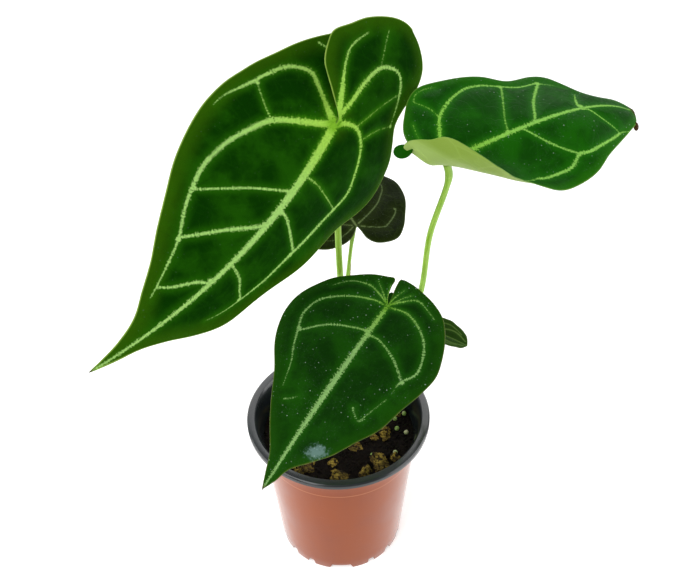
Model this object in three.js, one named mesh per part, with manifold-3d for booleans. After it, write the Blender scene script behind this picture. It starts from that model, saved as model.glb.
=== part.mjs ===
// Potted anthurium hybrid: five heart-shaped leaves on long stalks, growing from a short crown
// in bark soil, in a round plastic nursery pot.
// Millimetres, +Z up. The origin is the middle of the pot's foot, on the surface it stands on.
// The front is towards -Y.

import * as THREE from 'three';
import { mergeVertices } from 'three/addons/utils/BufferGeometryUtils.js';
import Module from 'manifold-3d';

const wasm = await Module();
wasm.setup();

// Pot
const POT_HEIGHT = 114;
const RIM_RADIUS = 60;
const RIM_DEPTH = 4;
const RIM_LIP = 5.6;
const FOOT_RADIUS = 43.1;
const SHOULDER_RADIUS = 51.8;
const SHOULDER_HEIGHT = 101.5;
const POT_WALL = 1.3;
const FLOOR_UNDERSIDE = 4.8;
const FLOOR_TOP = 6.4;
const STUD_RADIUS = 7;
const POT_SEGMENTS = 60;

// The foot ring is cut into sixteen lugs, with a wide notch at the front and at the back.
const FIRST_LUG_ANGLE = 18.7;
const LUG_PITCH = 20.37;
const LUGS_PER_SIDE = 8;
const NOTCH_HEIGHT = 4;
const SMALL_NOTCH = { bottom: 7.1, top: 3.8 };
const WIDE_NOTCH = { bottom: 19.4, top: 12.8 };

// Drainage holes in the floor
const HOLE_RADIUS = 3.5;
const HOLE_RING = 30;
const HOLE_COUNT = 8;

// Soil
const SOIL_LEVEL = 96;
const SOIL_DOME = 2;
const SOIL_GAP = 0.3;

// Chips and beads that show in front of the crown: place, then length, width and height.
// The rest are scattered by a rule.
const SEEN_CHIPS = [
  [29, -32, 15, 9, 7],
  [31, -5, 10, 7, 5],
  [11, -17, 8, 6, 4],
  [1, -39, 12, 7, 4],
  [24, -8, 7, 4, 3.5],
  [-4, -28, 6, 5, 3],
  [39, -26, 7, 5, 4],
  [17, -36, 9, 6, 3.5],
];
const SEEN_BEADS = [[39, 0.6], [45, -3], [45, 14], [38, 9], [22, -22], [37, -20]];
const CHIP_COUNT = 26;
const BEAD_COUNT = 5;

// Crown: the short stem at soil level that carries the stalks
const CROWN_CENTRE = [1, 2];
const CROWN_RADIUS = 15.5;
const CROWN_BOTTOM = 84;
const CROWN_TOP = 104;
const STALK_RING = 10;
const SOCKET_DEPTH = 7;
const FIT_GAP = 0.3;

// Stalks
const STALK_SIDES = 10;
const STALK_STEPS = 26;
const STALK_TAPER = 19;
const STALK_KNEE = 16;
const KNEE_LENGTH = 9;
const KNEE_DROP = 4;
const UNDER_BLADE = 0.9;
const JOINT_SETBACK = 1.5;

// Blades
const BLADE_THICKNESS = 0.8;
const LARGEST_LENGTH = 173;
const KEEL = 1.3;
const KEEL_AT_TIP = 0.15;
const KEEL_AT_SINUS = 0.25;
const KEEL_RUN = 0.05;
const LOBE_LIFT_REACH = 0.12;
const ACROSS = [0, 0.06, 0.25, 0.45, 0.65, 0.83, 1];
const FIRST_STATION = -0.4;
const STATION_STEP = 0.2;

// Every leaf is drawn flat first: s runs along the midrib from the stalk to the tip, t away from
// it. An edge runs from the sinus (the notch at the stalk) round the lobe to the tip. rise is the
// angle at which a half leaves the midrib and curl how much it bends from there to halfWidth,
// both in degrees: one value, or eight at stations from s = -0.4 to 1 times the length. bend and
// sway turn the midrib down and sideways along its length.
const LEAVES = [
  {
    name: 'large',
    base: [2.9, 0, 328.2],
    heading: 241,
    dip: 28.5,
    bank: -42,
    length: LARGEST_LENGTH,
    halfWidth: 70,
    bend: [14, 0, -16],
    sway: 31,
    lobeLift: 3,
    wave: 0.9,
    rows: 26,
    left: {
      rise: [-10, -14, -20, -26, -30, -34, -34, -12],
      curl: [-40, -42, -44, -46, -47, -48, -49, -50],
      lobeRows: 13,
      lobeEnd: 9,
      edge: [[-5, 1.5], [-12, -8], [-21, -19], [-32, -23], [-41, -24], [-50, -18], [-60, -11], [-69, -1],
        [-74, 8], [-75, 16], [-72, 26], [-64, 35], [-52, 37], [-38, 36], [-27, 38], [-20, 45],
        [-13, 54], [-5, 59], [6, 62], [18, 60], [33, 53], [50, 47], [71, 41], [91, 36],
        [109, 30], [124, 21], [136, 12], [148, 5], [160, 2]],
    },
    right: {
      rise: [-5, -5, -4, -4, -4, -4, -4, -4],
      curl: [-12, -10, -9, -8, -7, -6, -5, -4],
      lobeRows: 8,
      lobeEnd: 4,
      edge: [[-8, 2], [-20, 2], [-34, 3], [-47, 6], [-53, 11], [-50, 18], [-43, 25], [-32, 34],
        [-20, 42], [-7, 50], [8, 56], [22, 59], [37, 60], [54, 58], [72, 53], [89, 45],
        [105, 36], [119, 26], [131, 18], [142, 10], [154, 5], [165, 2]],
    },
    stalk: {
      angle: 60,
      radii: [3.1, 2.1, 2.0, 1.9, 2.3],
      path: [[5, 14, 140], [4.5, 17, 180], [3, 18, 216], [2.4, 18, 246], [2.5, 16, 285]],
    },
    color: 0x1f4d14,
  },
  {
    name: 'right',
    base: [58.2, -0.7, 306.4],
    heading: 19,
    dip: -12,
    bank: -2,
    length: 130,
    halfWidth: 60,
    bend: [-12.4, 58, 42],
    sway: -15.6,
    lobeLift: 0,
    wave: 0.5,
    rows: 27,
    left: {
      rise: [34, 34, 33, 25, 15, 5, 3, 6],
      curl: [-6, -8, -9, -3, 4, 10, 15, 20],
      lobeRows: 4,
      lobeEnd: 2,
      edge: [[-3, 2], [-9, 7], [-13, 16], [-13, 23], [-9, 31], [-1, 41], [10, 46], [28, 46],
        [46, 42], [60, 36], [77, 37], [88, 34], [95, 26], [101, 17], [110, 11], [120, 8], [127, 4]],
    },
    right: {
      rise: [110, 88, 5, -51, -50, -26, -32, -28],
      curl: [205, 102, 150, 139, 45, -19, -18, -13],
      lobeRows: 5,
      lobeEnd: 3,
      edge: [[-3.5, 2], [-10, 7], [-17, 13], [-21, 15.5], [-18.5, 19.5], [-9.5, 26], [0, 36.5],
        [15, 36.5], [27, 34.5], [41, 42], [58, 41.5], [73, 38.5], [87, 31], [104, 23], [115, 17],
        [125, 10]],
    },
    stalk: {
      angle: 330,
      radii: [2.9, 1.9, 1.8, 1.7, 2.2],
      path: [[15, -2, 121], [33, 3, 147], [44, 7, 180], [51.3, 9, 211], [54.3, 7.2, 252]],
    },
    color: 0x235a1c,
  },
  {
    name: 'front',
    base: [30.8, -8, 214],
    heading: 235.5,
    dip: 13,
    bank: -2,
    length: 127.5,
    halfWidth: 57,
    bend: [12.5, 5.5, 0],
    sway: 3,
    lobeLift: 0,
    wave: 0.7,
    rows: 25,
    left: {
      rise: 3,
      curl: -28,
      lobeRows: 4,
      lobeEnd: 2,
      edge: [[-6, -1], [-13, -2.8], [-20, -3], [-20, 4], [-18, 12], [-14, 23], [-8, 32], [2, 39],
        [13, 44], [25, 47], [39, 45], [53, 41], [68, 37], [81, 30], [93, 23], [103, 14], [111, 7],
        [120, 4]],
    },
    right: {
      rise: [5, 6, 7, 7, 8, 9, 10, 10],
      curl: [-14, -13, -12, -11, -9, -8, -7, -6],
      lobeRows: 4,
      lobeEnd: 2,
      edge: [[-5, 3], [-12, 5], [-18, 6], [-17, 11], [-14, 20], [-8, 30], [-1, 39], [9, 45],
        [21, 50], [32, 51], [43, 48], [55, 42], [68, 33], [82, 25], [96, 16], [108, 8], [118, 4]],
    },
    stalk: {
      angle: 270,
      radii: [2.7, 1.8, 1.7, 1.6, 2],
      path: [[3, -9, 126], [14, -10, 155], [26, -7, 185]],
    },
    color: 0x1d4c17,
  },
  {
    name: 'young',
    base: [13.3, 45, 232.6],
    heading: 118,
    dip: -20,
    bank: 0,
    length: 62,
    halfWidth: 38,
    bend: [20, 10, 0],
    sway: 0,
    lobeLift: 0,
    wave: 0.4,
    rows: 16,
    left: {
      rise: 5,
      curl: -20,
      lobeRows: 3,
      lobeEnd: 2,
      edge: [[-4, 3], [-8, 8], [-10, 15], [-9, 24], [-4, 32], [4, 38], [14, 41], [25, 40],
        [36, 34], [46, 26], [55, 14]],
    },
    right: {
      rise: 5,
      curl: -20,
      lobeRows: 4,
      lobeEnd: 3,
      edge: [[-4, 1], [-11, 2], [-16, 6], [-18, 13], [-17, 21], [-11, 28], [-2, 35], [8, 41],
        [18, 45], [28, 44], [38, 38], [48, 29], [56, 15]],
    },
    stalk: {
      angle: 130,
      radii: [2.3, 1.4, 1.3, 1.2, 1.6],
      path: [[-3, 17, 130], [4, 30, 168], [8, 39, 203]],
    },
    color: 0x33361f,
  },
  {
    name: 'small',
    base: [62, 22, 165],
    heading: -25,
    dip: 2,
    bank: 0,
    length: 23.5,
    halfWidth: 14,
    bend: [10, 10, 0],
    sway: 0,
    lobeLift: 0,
    wave: 0.2,
    rows: 9,
    left: {
      rise: [30, 30, 30, 28, 26, 24, 22, 20],
      curl: -15,
      lobeRows: 2,
      lobeEnd: 1,
      edge: [[-2, 1], [-4, 3], [-4, 6], [-2, 9], [2, 11], [8, 11], [14, 9], [20, 6]],
    },
    right: {
      rise: [24, 24, 24, 22, 20, 18, 16, 14],
      curl: -15,
      lobeRows: 2,
      lobeEnd: 1,
      edge: [[-2, 1], [-4, 3], [-4, 6], [-2, 9], [2, 11], [8, 11], [14, 9], [20, 6]],
    },
    stalk: {
      angle: 15,
      radii: [1.9, 1.1, 1.0, 1.0, 1.2],
      path: [[17, 7, 119], [35, 13, 134], [54, 20, 151]],
    },
    color: 0x5c7a2a,
  },
];

const plant = new THREE.Group();

const finish = (color, roughness) => new THREE.MeshStandardMaterial({ color, roughness, metalness: 0 });

function addMesh(name, geometry, material) {
  const mesh = new THREE.Mesh(geometry, material);
  mesh.name = name;
  plant.add(mesh);
  return mesh;
}

// Closed geometry to a solid for joining and cutting, and back
function solid(geometry) {
  const bare = new THREE.BufferGeometry();
  bare.setAttribute('position', geometry.getAttribute('position').clone());
  if (geometry.index) bare.setIndex(geometry.index.clone());
  const merged = mergeVertices(bare, 1e-4);
  const index = Array.from(merged.index.array);
  const kept = [];
  for (let i = 0; i < index.length; i += 3) {
    const [a, b, c] = [index[i], index[i + 1], index[i + 2]];
    if (a !== b && b !== c && c !== a) kept.push(a, b, c);
  }
  return new wasm.Manifold(new wasm.Mesh({
    numProp: 3,
    vertProperties: new Float32Array(merged.getAttribute('position').array),
    triVerts: new Uint32Array(kept),
  }));
}

function geometryOf(body) {
  const mesh = body.getMesh();
  const geometry = new THREE.BufferGeometry();
  geometry.setAttribute('position', new THREE.BufferAttribute(new Float32Array(mesh.vertProperties), 3));
  geometry.setIndex(Array.from(mesh.triVerts));
  geometry.computeVertexNormals();
  return geometry;
}

// A lathe profile is given as radius and height, and turned about the upright axis.
function turned(profile, segments) {
  const points = profile.map(([r, z]) => new THREE.Vector2(r, z));
  return new THREE.LatheGeometry(points, segments).rotateX(Math.PI / 2);
}

function uprightCylinder(radius, bottom, top, x, y, segments = 20) {
  const geometry = new THREE.CylinderGeometry(radius, radius, top - bottom, segments);
  return geometry.rotateX(Math.PI / 2).translate(x, y, (bottom + top) / 2);
}

// Numbers between 0 and 1 in a fixed order
function dice(seed) {
  let state = seed;
  return () => {
    state = (state * 16807) % 2147483647;
    return state / 2147483647;
  };
}

const radians = THREE.MathUtils.degToRad;

function wallRadius(z) {
  return FOOT_RADIUS + ((SHOULDER_RADIUS - FOOT_RADIUS) * z) / SHOULDER_HEIGHT - POT_WALL;
}

function makePot() {
  const lipInside = RIM_RADIUS - RIM_LIP;
  const profile = [
    [0, 0],
    [STUD_RADIUS, 0],
    [STUD_RADIUS, FLOOR_UNDERSIDE],
    [wallRadius(FLOOR_UNDERSIDE), FLOOR_UNDERSIDE],
    [wallRadius(0), 0],
    [FOOT_RADIUS, 0],
    [SHOULDER_RADIUS, SHOULDER_HEIGHT],
    [SHOULDER_RADIUS + 1.4, SHOULDER_HEIGHT + 1.2],
    [SHOULDER_RADIUS + 2, POT_HEIGHT - RIM_DEPTH],
    [RIM_RADIUS - 0.7, POT_HEIGHT - RIM_DEPTH],
    [RIM_RADIUS, POT_HEIGHT - RIM_DEPTH + 0.8],
    [RIM_RADIUS, POT_HEIGHT - 0.9],
    [RIM_RADIUS - 0.9, POT_HEIGHT],
    [lipInside + 0.8, POT_HEIGHT],
    [lipInside, POT_HEIGHT - 0.8],
    [SHOULDER_RADIUS + 0.6, POT_HEIGHT - RIM_DEPTH - 1],
    [wallRadius(SHOULDER_HEIGHT) + 0.1, SHOULDER_HEIGHT],
    [wallRadius(FLOOR_TOP), FLOOR_TOP],
    [0, FLOOR_TOP],
  ];
  let body = solid(turned(profile, POT_SEGMENTS));
  for (let i = 0; i < HOLE_COUNT; i += 1) {
    const angle = (i * 2 * Math.PI) / HOLE_COUNT;
    const [x, y] = [HOLE_RING * Math.cos(angle), HOLE_RING * Math.sin(angle)];
    body = body.subtract(solid(uprightCylinder(HOLE_RADIUS, FLOOR_UNDERSIDE - 1, FLOOR_TOP + 1, x, y)));
  }
  const notches = [{ angle: 0, size: WIDE_NOTCH }, { angle: 180, size: WIDE_NOTCH }];
  for (let i = 0; i < LUGS_PER_SIDE - 1; i += 1) {
    const angle = FIRST_LUG_ANGLE + LUG_PITCH * (i + 0.5);
    notches.push({ angle, size: SMALL_NOTCH }, { angle: -angle, size: SMALL_NOTCH });
  }
  for (const { angle, size } of notches) body = body.subtract(solid(notchCutter(angle, size)));
  return geometryOf(body);
}

// A trapezium, wider at the foot, pushed outwards through the foot ring
function notchCutter(angle, size) {
  const below = 1;
  const slope = (size.bottom - size.top) / 2 / NOTCH_HEIGHT;
  const shape = new THREE.Shape();
  shape.moveTo(-size.bottom / 2 - slope * below, -below);
  shape.lineTo(size.bottom / 2 + slope * below, -below);
  shape.lineTo(size.top / 2, NOTCH_HEIGHT);
  shape.lineTo(-size.top / 2, NOTCH_HEIGHT);
  shape.closePath();
  const cutter = new THREE.ExtrudeGeometry(shape, { depth: 10, bevelEnabled: false });
  cutter.rotateX(Math.PI / 2).translate(0, -FOOT_RADIUS + 5, 0);
  return cutter.rotateZ(radians(angle));
}

// Bark chips and beads lie half sunk in the top of the soil: those that show first, then the
// rest in a ring round the crown, left and behind.
function soilPieces() {
  const roll = dice(4711);
  const turn = () => new THREE.Euler(roll() * 0.7, roll() * 0.7, roll() * Math.PI);
  const pieces = [];
  // No piece reaches the pot's wall, however it is turned.
  const addPiece = (isChip, x, y, size) => {
    const share = Math.min(1, (49.4 - Math.hypot(...size) / 2) / Math.hypot(x, y));
    const place = new THREE.Vector3(x * share, y * share, SOIL_LEVEL + 0.6);
    pieces.push({ isChip, size, spin: turn(), place });
  };
  for (const [x, y, ...size] of SEEN_CHIPS) addPiece(true, x, y, size);
  for (const [x, y] of SEEN_BEADS) addPiece(false, x, y, [3.4, 3.2, 3]);
  for (let i = 0; i < CHIP_COUNT + BEAD_COUNT; i += 1) {
    const isChip = i < CHIP_COUNT;
    const radius = 19 + 29 * Math.sqrt(roll());
    const angle = radians(20 + 230 * roll());
    const size = isChip
      ? [4 + 6 * roll(), 3 + 3.5 * roll(), 2 + 2 * roll()]
      : [3.2 + roll(), 3.2 + roll(), 3 + roll()];
    addPiece(isChip, radius * Math.cos(angle), radius * Math.sin(angle), size);
  }
  return pieces;
}

function makeSoil() {
  const bottom = FLOOR_TOP + SOIL_GAP;
  const edge = (z) => wallRadius(z) - SOIL_GAP;
  const profile = [[0, bottom], [edge(bottom), bottom], [edge(SOIL_LEVEL), SOIL_LEVEL - 0.5]];
  for (const f of [0.85, 0.6, 0.35]) {
    profile.push([edge(SOIL_LEVEL) * f, SOIL_LEVEL + SOIL_DOME * (1 - f * f)]);
  }
  profile.push([0, SOIL_LEVEL + SOIL_DOME]);
  let body = solid(turned(profile, 40));
  for (const { isChip, size, spin, place } of soilPieces()) {
    const shape = isChip
      ? new THREE.BoxGeometry(...size)
      : new THREE.IcosahedronGeometry(0.5, 0).scale(...size);
    const matrix = new THREE.Matrix4().makeRotationFromEuler(spin).setPosition(place);
    body = body.add(solid(shape.applyMatrix4(matrix)));
  }
  const [x, y] = CROWN_CENTRE;
  const hole = uprightCylinder(CROWN_RADIUS + FIT_GAP, CROWN_BOTTOM - FIT_GAP, SOIL_LEVEL + 20, x, y, 32);
  return geometryOf(body.subtract(solid(hole)));
}

function stalkFoot(leaf) {
  const angle = radians(leaf.stalk.angle);
  return [CROWN_CENTRE[0] + STALK_RING * Math.cos(angle), CROWN_CENTRE[1] + STALK_RING * Math.sin(angle)];
}

// The crown has a socket for every stalk, and short dry sheaths stand outside them.
function makeCrown() {
  const profile = [
    [0, CROWN_BOTTOM],
    [CROWN_RADIUS - 2, CROWN_BOTTOM],
    [CROWN_RADIUS, CROWN_BOTTOM + 2],
    [CROWN_RADIUS, CROWN_TOP - 4],
    [CROWN_RADIUS - 1.2, CROWN_TOP - 1.2],
    [CROWN_RADIUS - 4, CROWN_TOP],
    [0, CROWN_TOP],
  ];
  let body = solid(turned(profile, 32).translate(...CROWN_CENTRE, 0));
  const sheath = new THREE.ConeGeometry(4.6, 24, 10, 3).rotateX(Math.PI / 2).scale(0.3, 1, 1);
  for (const angle of [298, 96, 200]) {
    const piece = sheath.clone().rotateY(radians(9)).translate(CROWN_RADIUS - 2.6, 0, CROWN_TOP + 6);
    piece.rotateZ(radians(angle)).translate(...CROWN_CENTRE, 0);
    body = body.add(solid(piece));
  }
  for (const leaf of LEAVES) {
    const radius = leaf.stalk.radii[0] + FIT_GAP;
    const [x, y] = stalkFoot(leaf);
    const socket = uprightCylinder(radius, CROWN_TOP - SOCKET_DEPTH - FIT_GAP, CROWN_TOP + 30, x, y);
    body = body.subtract(solid(socket));
  }
  return geometryOf(body);
}

// The value at s of a smooth line through the eight station values
function along(values, s, length) {
  if (typeof values === 'number') return values;
  const last = values.length - 1;
  const x = Math.min(Math.max((s / length - FIRST_STATION) / STATION_STEP, 0), last);
  const i = Math.min(Math.floor(x), last - 1);
  const f = x - i;
  const b = values[i];
  const c = values[i + 1];
  const a = i > 0 ? values[i - 1] : 2 * b - c;
  const d = i + 2 <= last ? values[i + 2] : 2 * c - b;
  return 0.5 * (2 * b + (c - a) * f + (2 * a - 5 * b + 4 * c - d) * f * f
    + (3 * b - a - 3 * c + d) * f * f * f);
}

// The midrib as a line of places with a direction, in a frame where x points right of the
// midrib, y along it at the stalk and z up from the blade
function midribOf(leaf) {
  const { length, bend, sway } = leaf;
  const step = length / 100;
  const at = (s) => {
    const u = Math.max(s / length, 0);
    const back = Math.max(-s / length, 0);
    const pitch = radians(bend[0] * u + bend[1] * u * u + bend[2] * back);
    const yaw = radians(sway * u);
    const side = new THREE.Vector3(-Math.cos(yaw), Math.sin(yaw), 0);
    const tangent = new THREE.Vector3(Math.sin(yaw), Math.cos(yaw), 0).multiplyScalar(Math.cos(pitch));
    tangent.z = -Math.sin(pitch);
    return { tangent, side };
  };
  const forward = [new THREE.Vector3()];
  const backward = [new THREE.Vector3()];
  for (let i = 0; i < 104; i += 1) {
    forward.push(forward[i].clone().addScaledVector(at((i + 0.5) * step).tangent, step));
    backward.push(backward[i].clone().addScaledVector(at(-(i + 0.5) * step).tangent, -step));
  }
  return (s) => {
    const line = s >= 0 ? forward : backward;
    const x = Math.min(Math.abs(s) / step, 103.999);
    const i = Math.floor(x);
    const { tangent, side } = at(s);
    return { place: line[i].clone().lerp(line[i + 1], x - i), tangent, side };
  };
}

// A place on the bent blade. sign is +1 on the left half and -1 on the right half.
function bladePlace(leaf, midrib, half, sign, s, t) {
  const { length, halfWidth, lobeLift } = leaf;
  const { place, tangent, side } = midrib(s);
  const normal = new THREE.Vector3().crossVectors(tangent, side);
  const rise = radians(along(half.rise, s, length));
  const turnRate = radians(along(half.curl, s, length)) / halfWidth || 1e-7;
  const out = (Math.sin(rise + turnRate * t) - Math.sin(rise)) / turnRate;
  const x = THREE.MathUtils.clamp(-s / (LOBE_LIFT_REACH * length), 0, 1);
  const lift = (Math.cos(rise) - Math.cos(rise + turnRate * t)) / turnRate
    + sign * lobeLift * x * x * (3 - 2 * x);
  return place.addScaledVector(side, sign * out).addScaledVector(normal, lift);
}

// Points at equal steps along a line of flat points
function evenPoints(points, count) {
  const curve = new THREE.CurvePath();
  for (let i = 0; i + 1 < points.length; i += 1) {
    curve.add(new THREE.LineCurve(points[i], points[i + 1]));
  }
  const found = [];
  for (let i = 0; i <= count; i += 1) found.push(curve.getPointAt(i / count));
  return found;
}

// The flat points of one half, row by row from the tip to the end of the lobe. A row runs from
// the midrib, or the edge of the sinus, out to the edge of the blade.
function flatRows(leaf, half) {
  const sinus = new THREE.Vector2(0, 0);
  const tip = new THREE.Vector2(leaf.length, 0);
  const marks = [sinus, ...half.edge.map(([s, t]) => new THREE.Vector2(s, t)), tip];
  const smooth = new THREE.SplineCurve(marks);
  const fine = smooth.getPoints(marks.length * 8 - 8);
  const corner = (half.lobeEnd + 1) * 8;
  const inner = [
    ...evenPoints([tip, sinus], leaf.rows),
    ...evenPoints(fine.slice(0, corner + 1), half.lobeRows).slice(1),
  ];
  const outer = evenPoints(fine.slice(corner).reverse(), leaf.rows + half.lobeRows);
  return inner.map((start, i) => ACROSS.map((w) => start.clone().lerp(outer[i], w)));
}

// How far the midrib stands out under the blade: it starts low at the sinus, and is lower again
// towards the tip and on a smaller leaf.
function keelDepth(leaf, s) {
  const start = Math.min(1, KEEL_AT_SINUS + s / (KEEL_RUN * leaf.length));
  const share = start * Math.min(1, 1 + KEEL_AT_TIP - s / leaf.length);
  return KEEL * share * (leaf.length / LARGEST_LENGTH);
}

// A closed blade: an upper and a lower face with the same triangles, joined along the edges
function bladeGeometry(leaf) {
  const midrib = midribOf(leaf);
  const places = [];
  const triangles = [];
  const last = ACROSS.length - 1;
  const shared = new Map();

  function corners(half, sign, s, t, w) {
    const wave = leaf.wave * w * w * Math.sin((2 * Math.PI * s) / (0.31 * leaf.length) + sign);
    const at = (ds, dt) => bladePlace(leaf, midrib, half, sign, s + ds, t + dt);
    const here = at(0, 0);
    const normal = new THREE.Vector3().crossVectors(at(0.5, 0).sub(here), at(0, 0.5).sub(here));
    normal.multiplyScalar(sign).normalize();
    return { here: here.addScaledVector(normal, wave), normal };
  }

  function addPair(here, normal, thickness) {
    places.push(here.clone(), here.clone().addScaledVector(normal, -thickness));
    return places.length - 2;
  }

  // The corners of one half. Next to the midrib they are set off in the midrib's own direction,
  // so that the lower faces stay apart where the halves fold together near the tip.
  function gridOf(half, other, sign) {
    const rows = flatRows(leaf, half);
    return rows.map((row, i) => {
      const onMidrib = i <= leaf.rows;
      const isEnd = i === 0 || i === rows.length - 1;
      const first = corners(half, sign, row[0].x, row[0].y, 0);
      const across = corners(other, -sign, row[0].x, 0, 0).normal;
      const middle = first.normal.clone().add(across).normalize();
      const ids = row.map((point, j) => {
        if (isEnd && j > 0) return -1;
        if (onMidrib && j === 0) {
          if (!shared.has(i)) {
            shared.set(i, addPair(first.here, middle, BLADE_THICKNESS + keelDepth(leaf, point.x)));
          }
          return shared.get(i);
        }
        const { here, normal } = corners(half, sign, point.x, point.y, ACROSS[j]);
        return addPair(here, onMidrib && j === 1 ? middle : normal, BLADE_THICKNESS);
      });
      return ids.map((id) => (id < 0 ? ids[0] : id));
    });
  }

  // Upper corners have even numbers, and each lower corner is the next one.
  function face(a, b, c, sign) {
    if (a === b || b === c || c === a) return;
    const [p, q] = sign > 0 ? [b, c] : [c, b];
    triangles.push(a, p, q, a + 1, q + 1, p + 1);
  }

  function wall(a, b, sign) {
    if (a === b) return;
    const [p, q] = sign > 0 ? [a, b] : [b, a];
    triangles.push(p, p + 1, q + 1, p, q + 1, q);
  }

  for (const [half, other, sign] of [[leaf.left, leaf.right, 1], [leaf.right, leaf.left, -1]]) {
    const grid = gridOf(half, other, sign);
    for (let i = 0; i + 1 < grid.length; i += 1) {
      for (let j = 0; j < last; j += 1) {
        face(grid[i][j], grid[i][j + 1], grid[i + 1][j + 1], sign);
        face(grid[i][j], grid[i + 1][j + 1], grid[i + 1][j], sign);
      }
      wall(grid[i + 1][last], grid[i][last], -sign);
      if (i >= leaf.rows) wall(grid[i][0], grid[i + 1][0], -sign);
    }
  }

  const geometry = new THREE.BufferGeometry().setFromPoints(places);
  geometry.setIndex(triangles);
  geometry.computeVertexNormals();
  return geometry;
}

// The turn that carries a blade from its own frame into the plant's
function bladeTurn(leaf) {
  const [h, d, b] = [radians(leaf.heading), radians(leaf.dip), radians(leaf.bank)];
  const forward = new THREE.Vector3(Math.cos(h) * Math.cos(d), Math.sin(h) * Math.cos(d), -Math.sin(d));
  const level = new THREE.Vector3(-Math.sin(h), Math.cos(h), 0);
  const upright = new THREE.Vector3().crossVectors(forward, level);
  const left = level.multiplyScalar(Math.cos(b)).addScaledVector(upright, Math.sin(b));
  const normal = new THREE.Vector3().crossVectors(forward, left);
  return new THREE.Matrix4().makeBasis(left.negate(), forward, normal);
}

// A round stalk that is thickest in its socket, slim along its length and a little thicker again
// where the blade joins it
function stalkGeometry(leaf) {
  const turn = bladeTurn(leaf);
  const normal = new THREE.Vector3().setFromMatrixColumn(turn, 2);
  const forward = new THREE.Vector3().setFromMatrixColumn(turn, 1);
  const base = new THREE.Vector3(...leaf.base).addScaledVector(forward, JOINT_SETBACK);
  const under = BLADE_THICKNESS + keelDepth(leaf, JOINT_SETBACK) + UNDER_BLADE;
  const top = base.clone().addScaledVector(normal, -under);
  const drop = (KNEE_LENGTH * leaf.length) / LARGEST_LENGTH + KNEE_DROP;
  const neck = base.clone().addScaledVector(normal, -drop);
  const [x, y] = stalkFoot(leaf);
  const foot = CROWN_TOP - SOCKET_DEPTH;
  const path = new THREE.CatmullRomCurve3([
    new THREE.Vector3(x, y, foot),
    new THREE.Vector3(x, y, CROWN_TOP - 1),
    new THREE.Vector3(x, y, CROWN_TOP + 7),
    ...leaf.stalk.path.map((p) => new THREE.Vector3(...p)),
    neck,
    top,
  ], false, 'centripetal');
  const circle = new THREE.EllipseCurve(0, 0, 1, 1, 0, 2 * Math.PI);
  const section = new THREE.Shape(circle.getPoints(STALK_SIDES).slice(0, STALK_SIDES));
  const sweep = { steps: STALK_STEPS, extrudePath: path, bevelEnabled: false };
  const geometry = new THREE.ExtrudeGeometry(section, sweep);
  const centres = path.getSpacedPoints(STALK_STEPS);
  const corner = new THREE.Vector3();
  const place = geometry.getAttribute('position');
  const [socket, lower, middle, upper, joint] = leaf.stalk.radii;
  const length = path.getLength();
  for (let i = 0; i < place.count; i += 1) {
    corner.fromBufferAttribute(place, i);
    let k = 0;
    centres.forEach((c, n) => {
      if (corner.distanceToSquared(c) < corner.distanceToSquared(centres[k])) k = n;
    });
    const u = k / STALK_STEPS;
    const fromTop = (1 - u) * length;
    let radius = u < 0.5 ? lower + (middle - lower) * 2 * u : middle + (upper - middle) * (2 * u - 1);
    const swell = 1 - THREE.MathUtils.clamp((u * length - SOCKET_DEPTH) / STALK_TAPER, 0, 1);
    radius += (socket - radius) * swell;
    const knee = THREE.MathUtils.clamp(2 * (1 - fromTop / STALK_KNEE), 0, 1);
    radius += (joint - radius) * knee;
    corner.sub(centres[k]).multiplyScalar(radius).add(centres[k]);
    place.setXYZ(i, corner.x, corner.y, corner.z);
  }
  return geometryOf(solid(geometry));
}

addMesh('pot', makePot(), finish(0x9c6148, 0.45));
addMesh('soil', makeSoil(), finish(0x2b1d14, 0.95));
addMesh('crown', makeCrown(), finish(0x6d6a35, 0.8));
for (const leaf of LEAVES) {
  addMesh(`stalk_${leaf.name}`, stalkGeometry(leaf), finish(0x7fa82e, 0.45));
  const blade = addMesh(`blade_${leaf.name}`, bladeGeometry(leaf), finish(leaf.color, 0.5));
  blade.position.set(...leaf.base);
  blade.quaternion.setFromRotationMatrix(bladeTurn(leaf));
}

export default plant;
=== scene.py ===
"""Potted anthurium hybrid: velvety heart-shaped leaves in bark soil, in a round nursery pot.

Drawings of leaves, stalks and pot are in millimetres. Finished pieces are in metres, in the
model's own frame: the pot's axis is Z, it stands at height 0, and the front is towards -Y.
"""
import math
import random

import bpy
import numpy as np
from mathutils import Matrix, Vector, noise


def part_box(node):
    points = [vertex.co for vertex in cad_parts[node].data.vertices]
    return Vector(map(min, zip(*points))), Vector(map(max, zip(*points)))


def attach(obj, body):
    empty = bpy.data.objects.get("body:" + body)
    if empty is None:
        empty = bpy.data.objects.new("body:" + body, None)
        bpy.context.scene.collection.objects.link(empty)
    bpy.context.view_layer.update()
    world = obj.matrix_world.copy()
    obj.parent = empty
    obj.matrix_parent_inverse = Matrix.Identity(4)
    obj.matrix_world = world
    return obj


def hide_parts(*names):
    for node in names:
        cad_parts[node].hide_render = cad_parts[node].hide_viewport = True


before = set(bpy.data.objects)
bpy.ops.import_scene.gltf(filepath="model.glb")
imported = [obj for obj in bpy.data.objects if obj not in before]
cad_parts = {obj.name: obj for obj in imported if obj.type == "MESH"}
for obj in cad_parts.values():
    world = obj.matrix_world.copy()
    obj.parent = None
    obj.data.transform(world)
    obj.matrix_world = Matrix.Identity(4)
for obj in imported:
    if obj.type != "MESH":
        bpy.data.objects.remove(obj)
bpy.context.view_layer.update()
MM = 0.001

# Without a seed the noise on chips, beads and crown would differ from run to run.
noise.seed_set(12)

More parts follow.
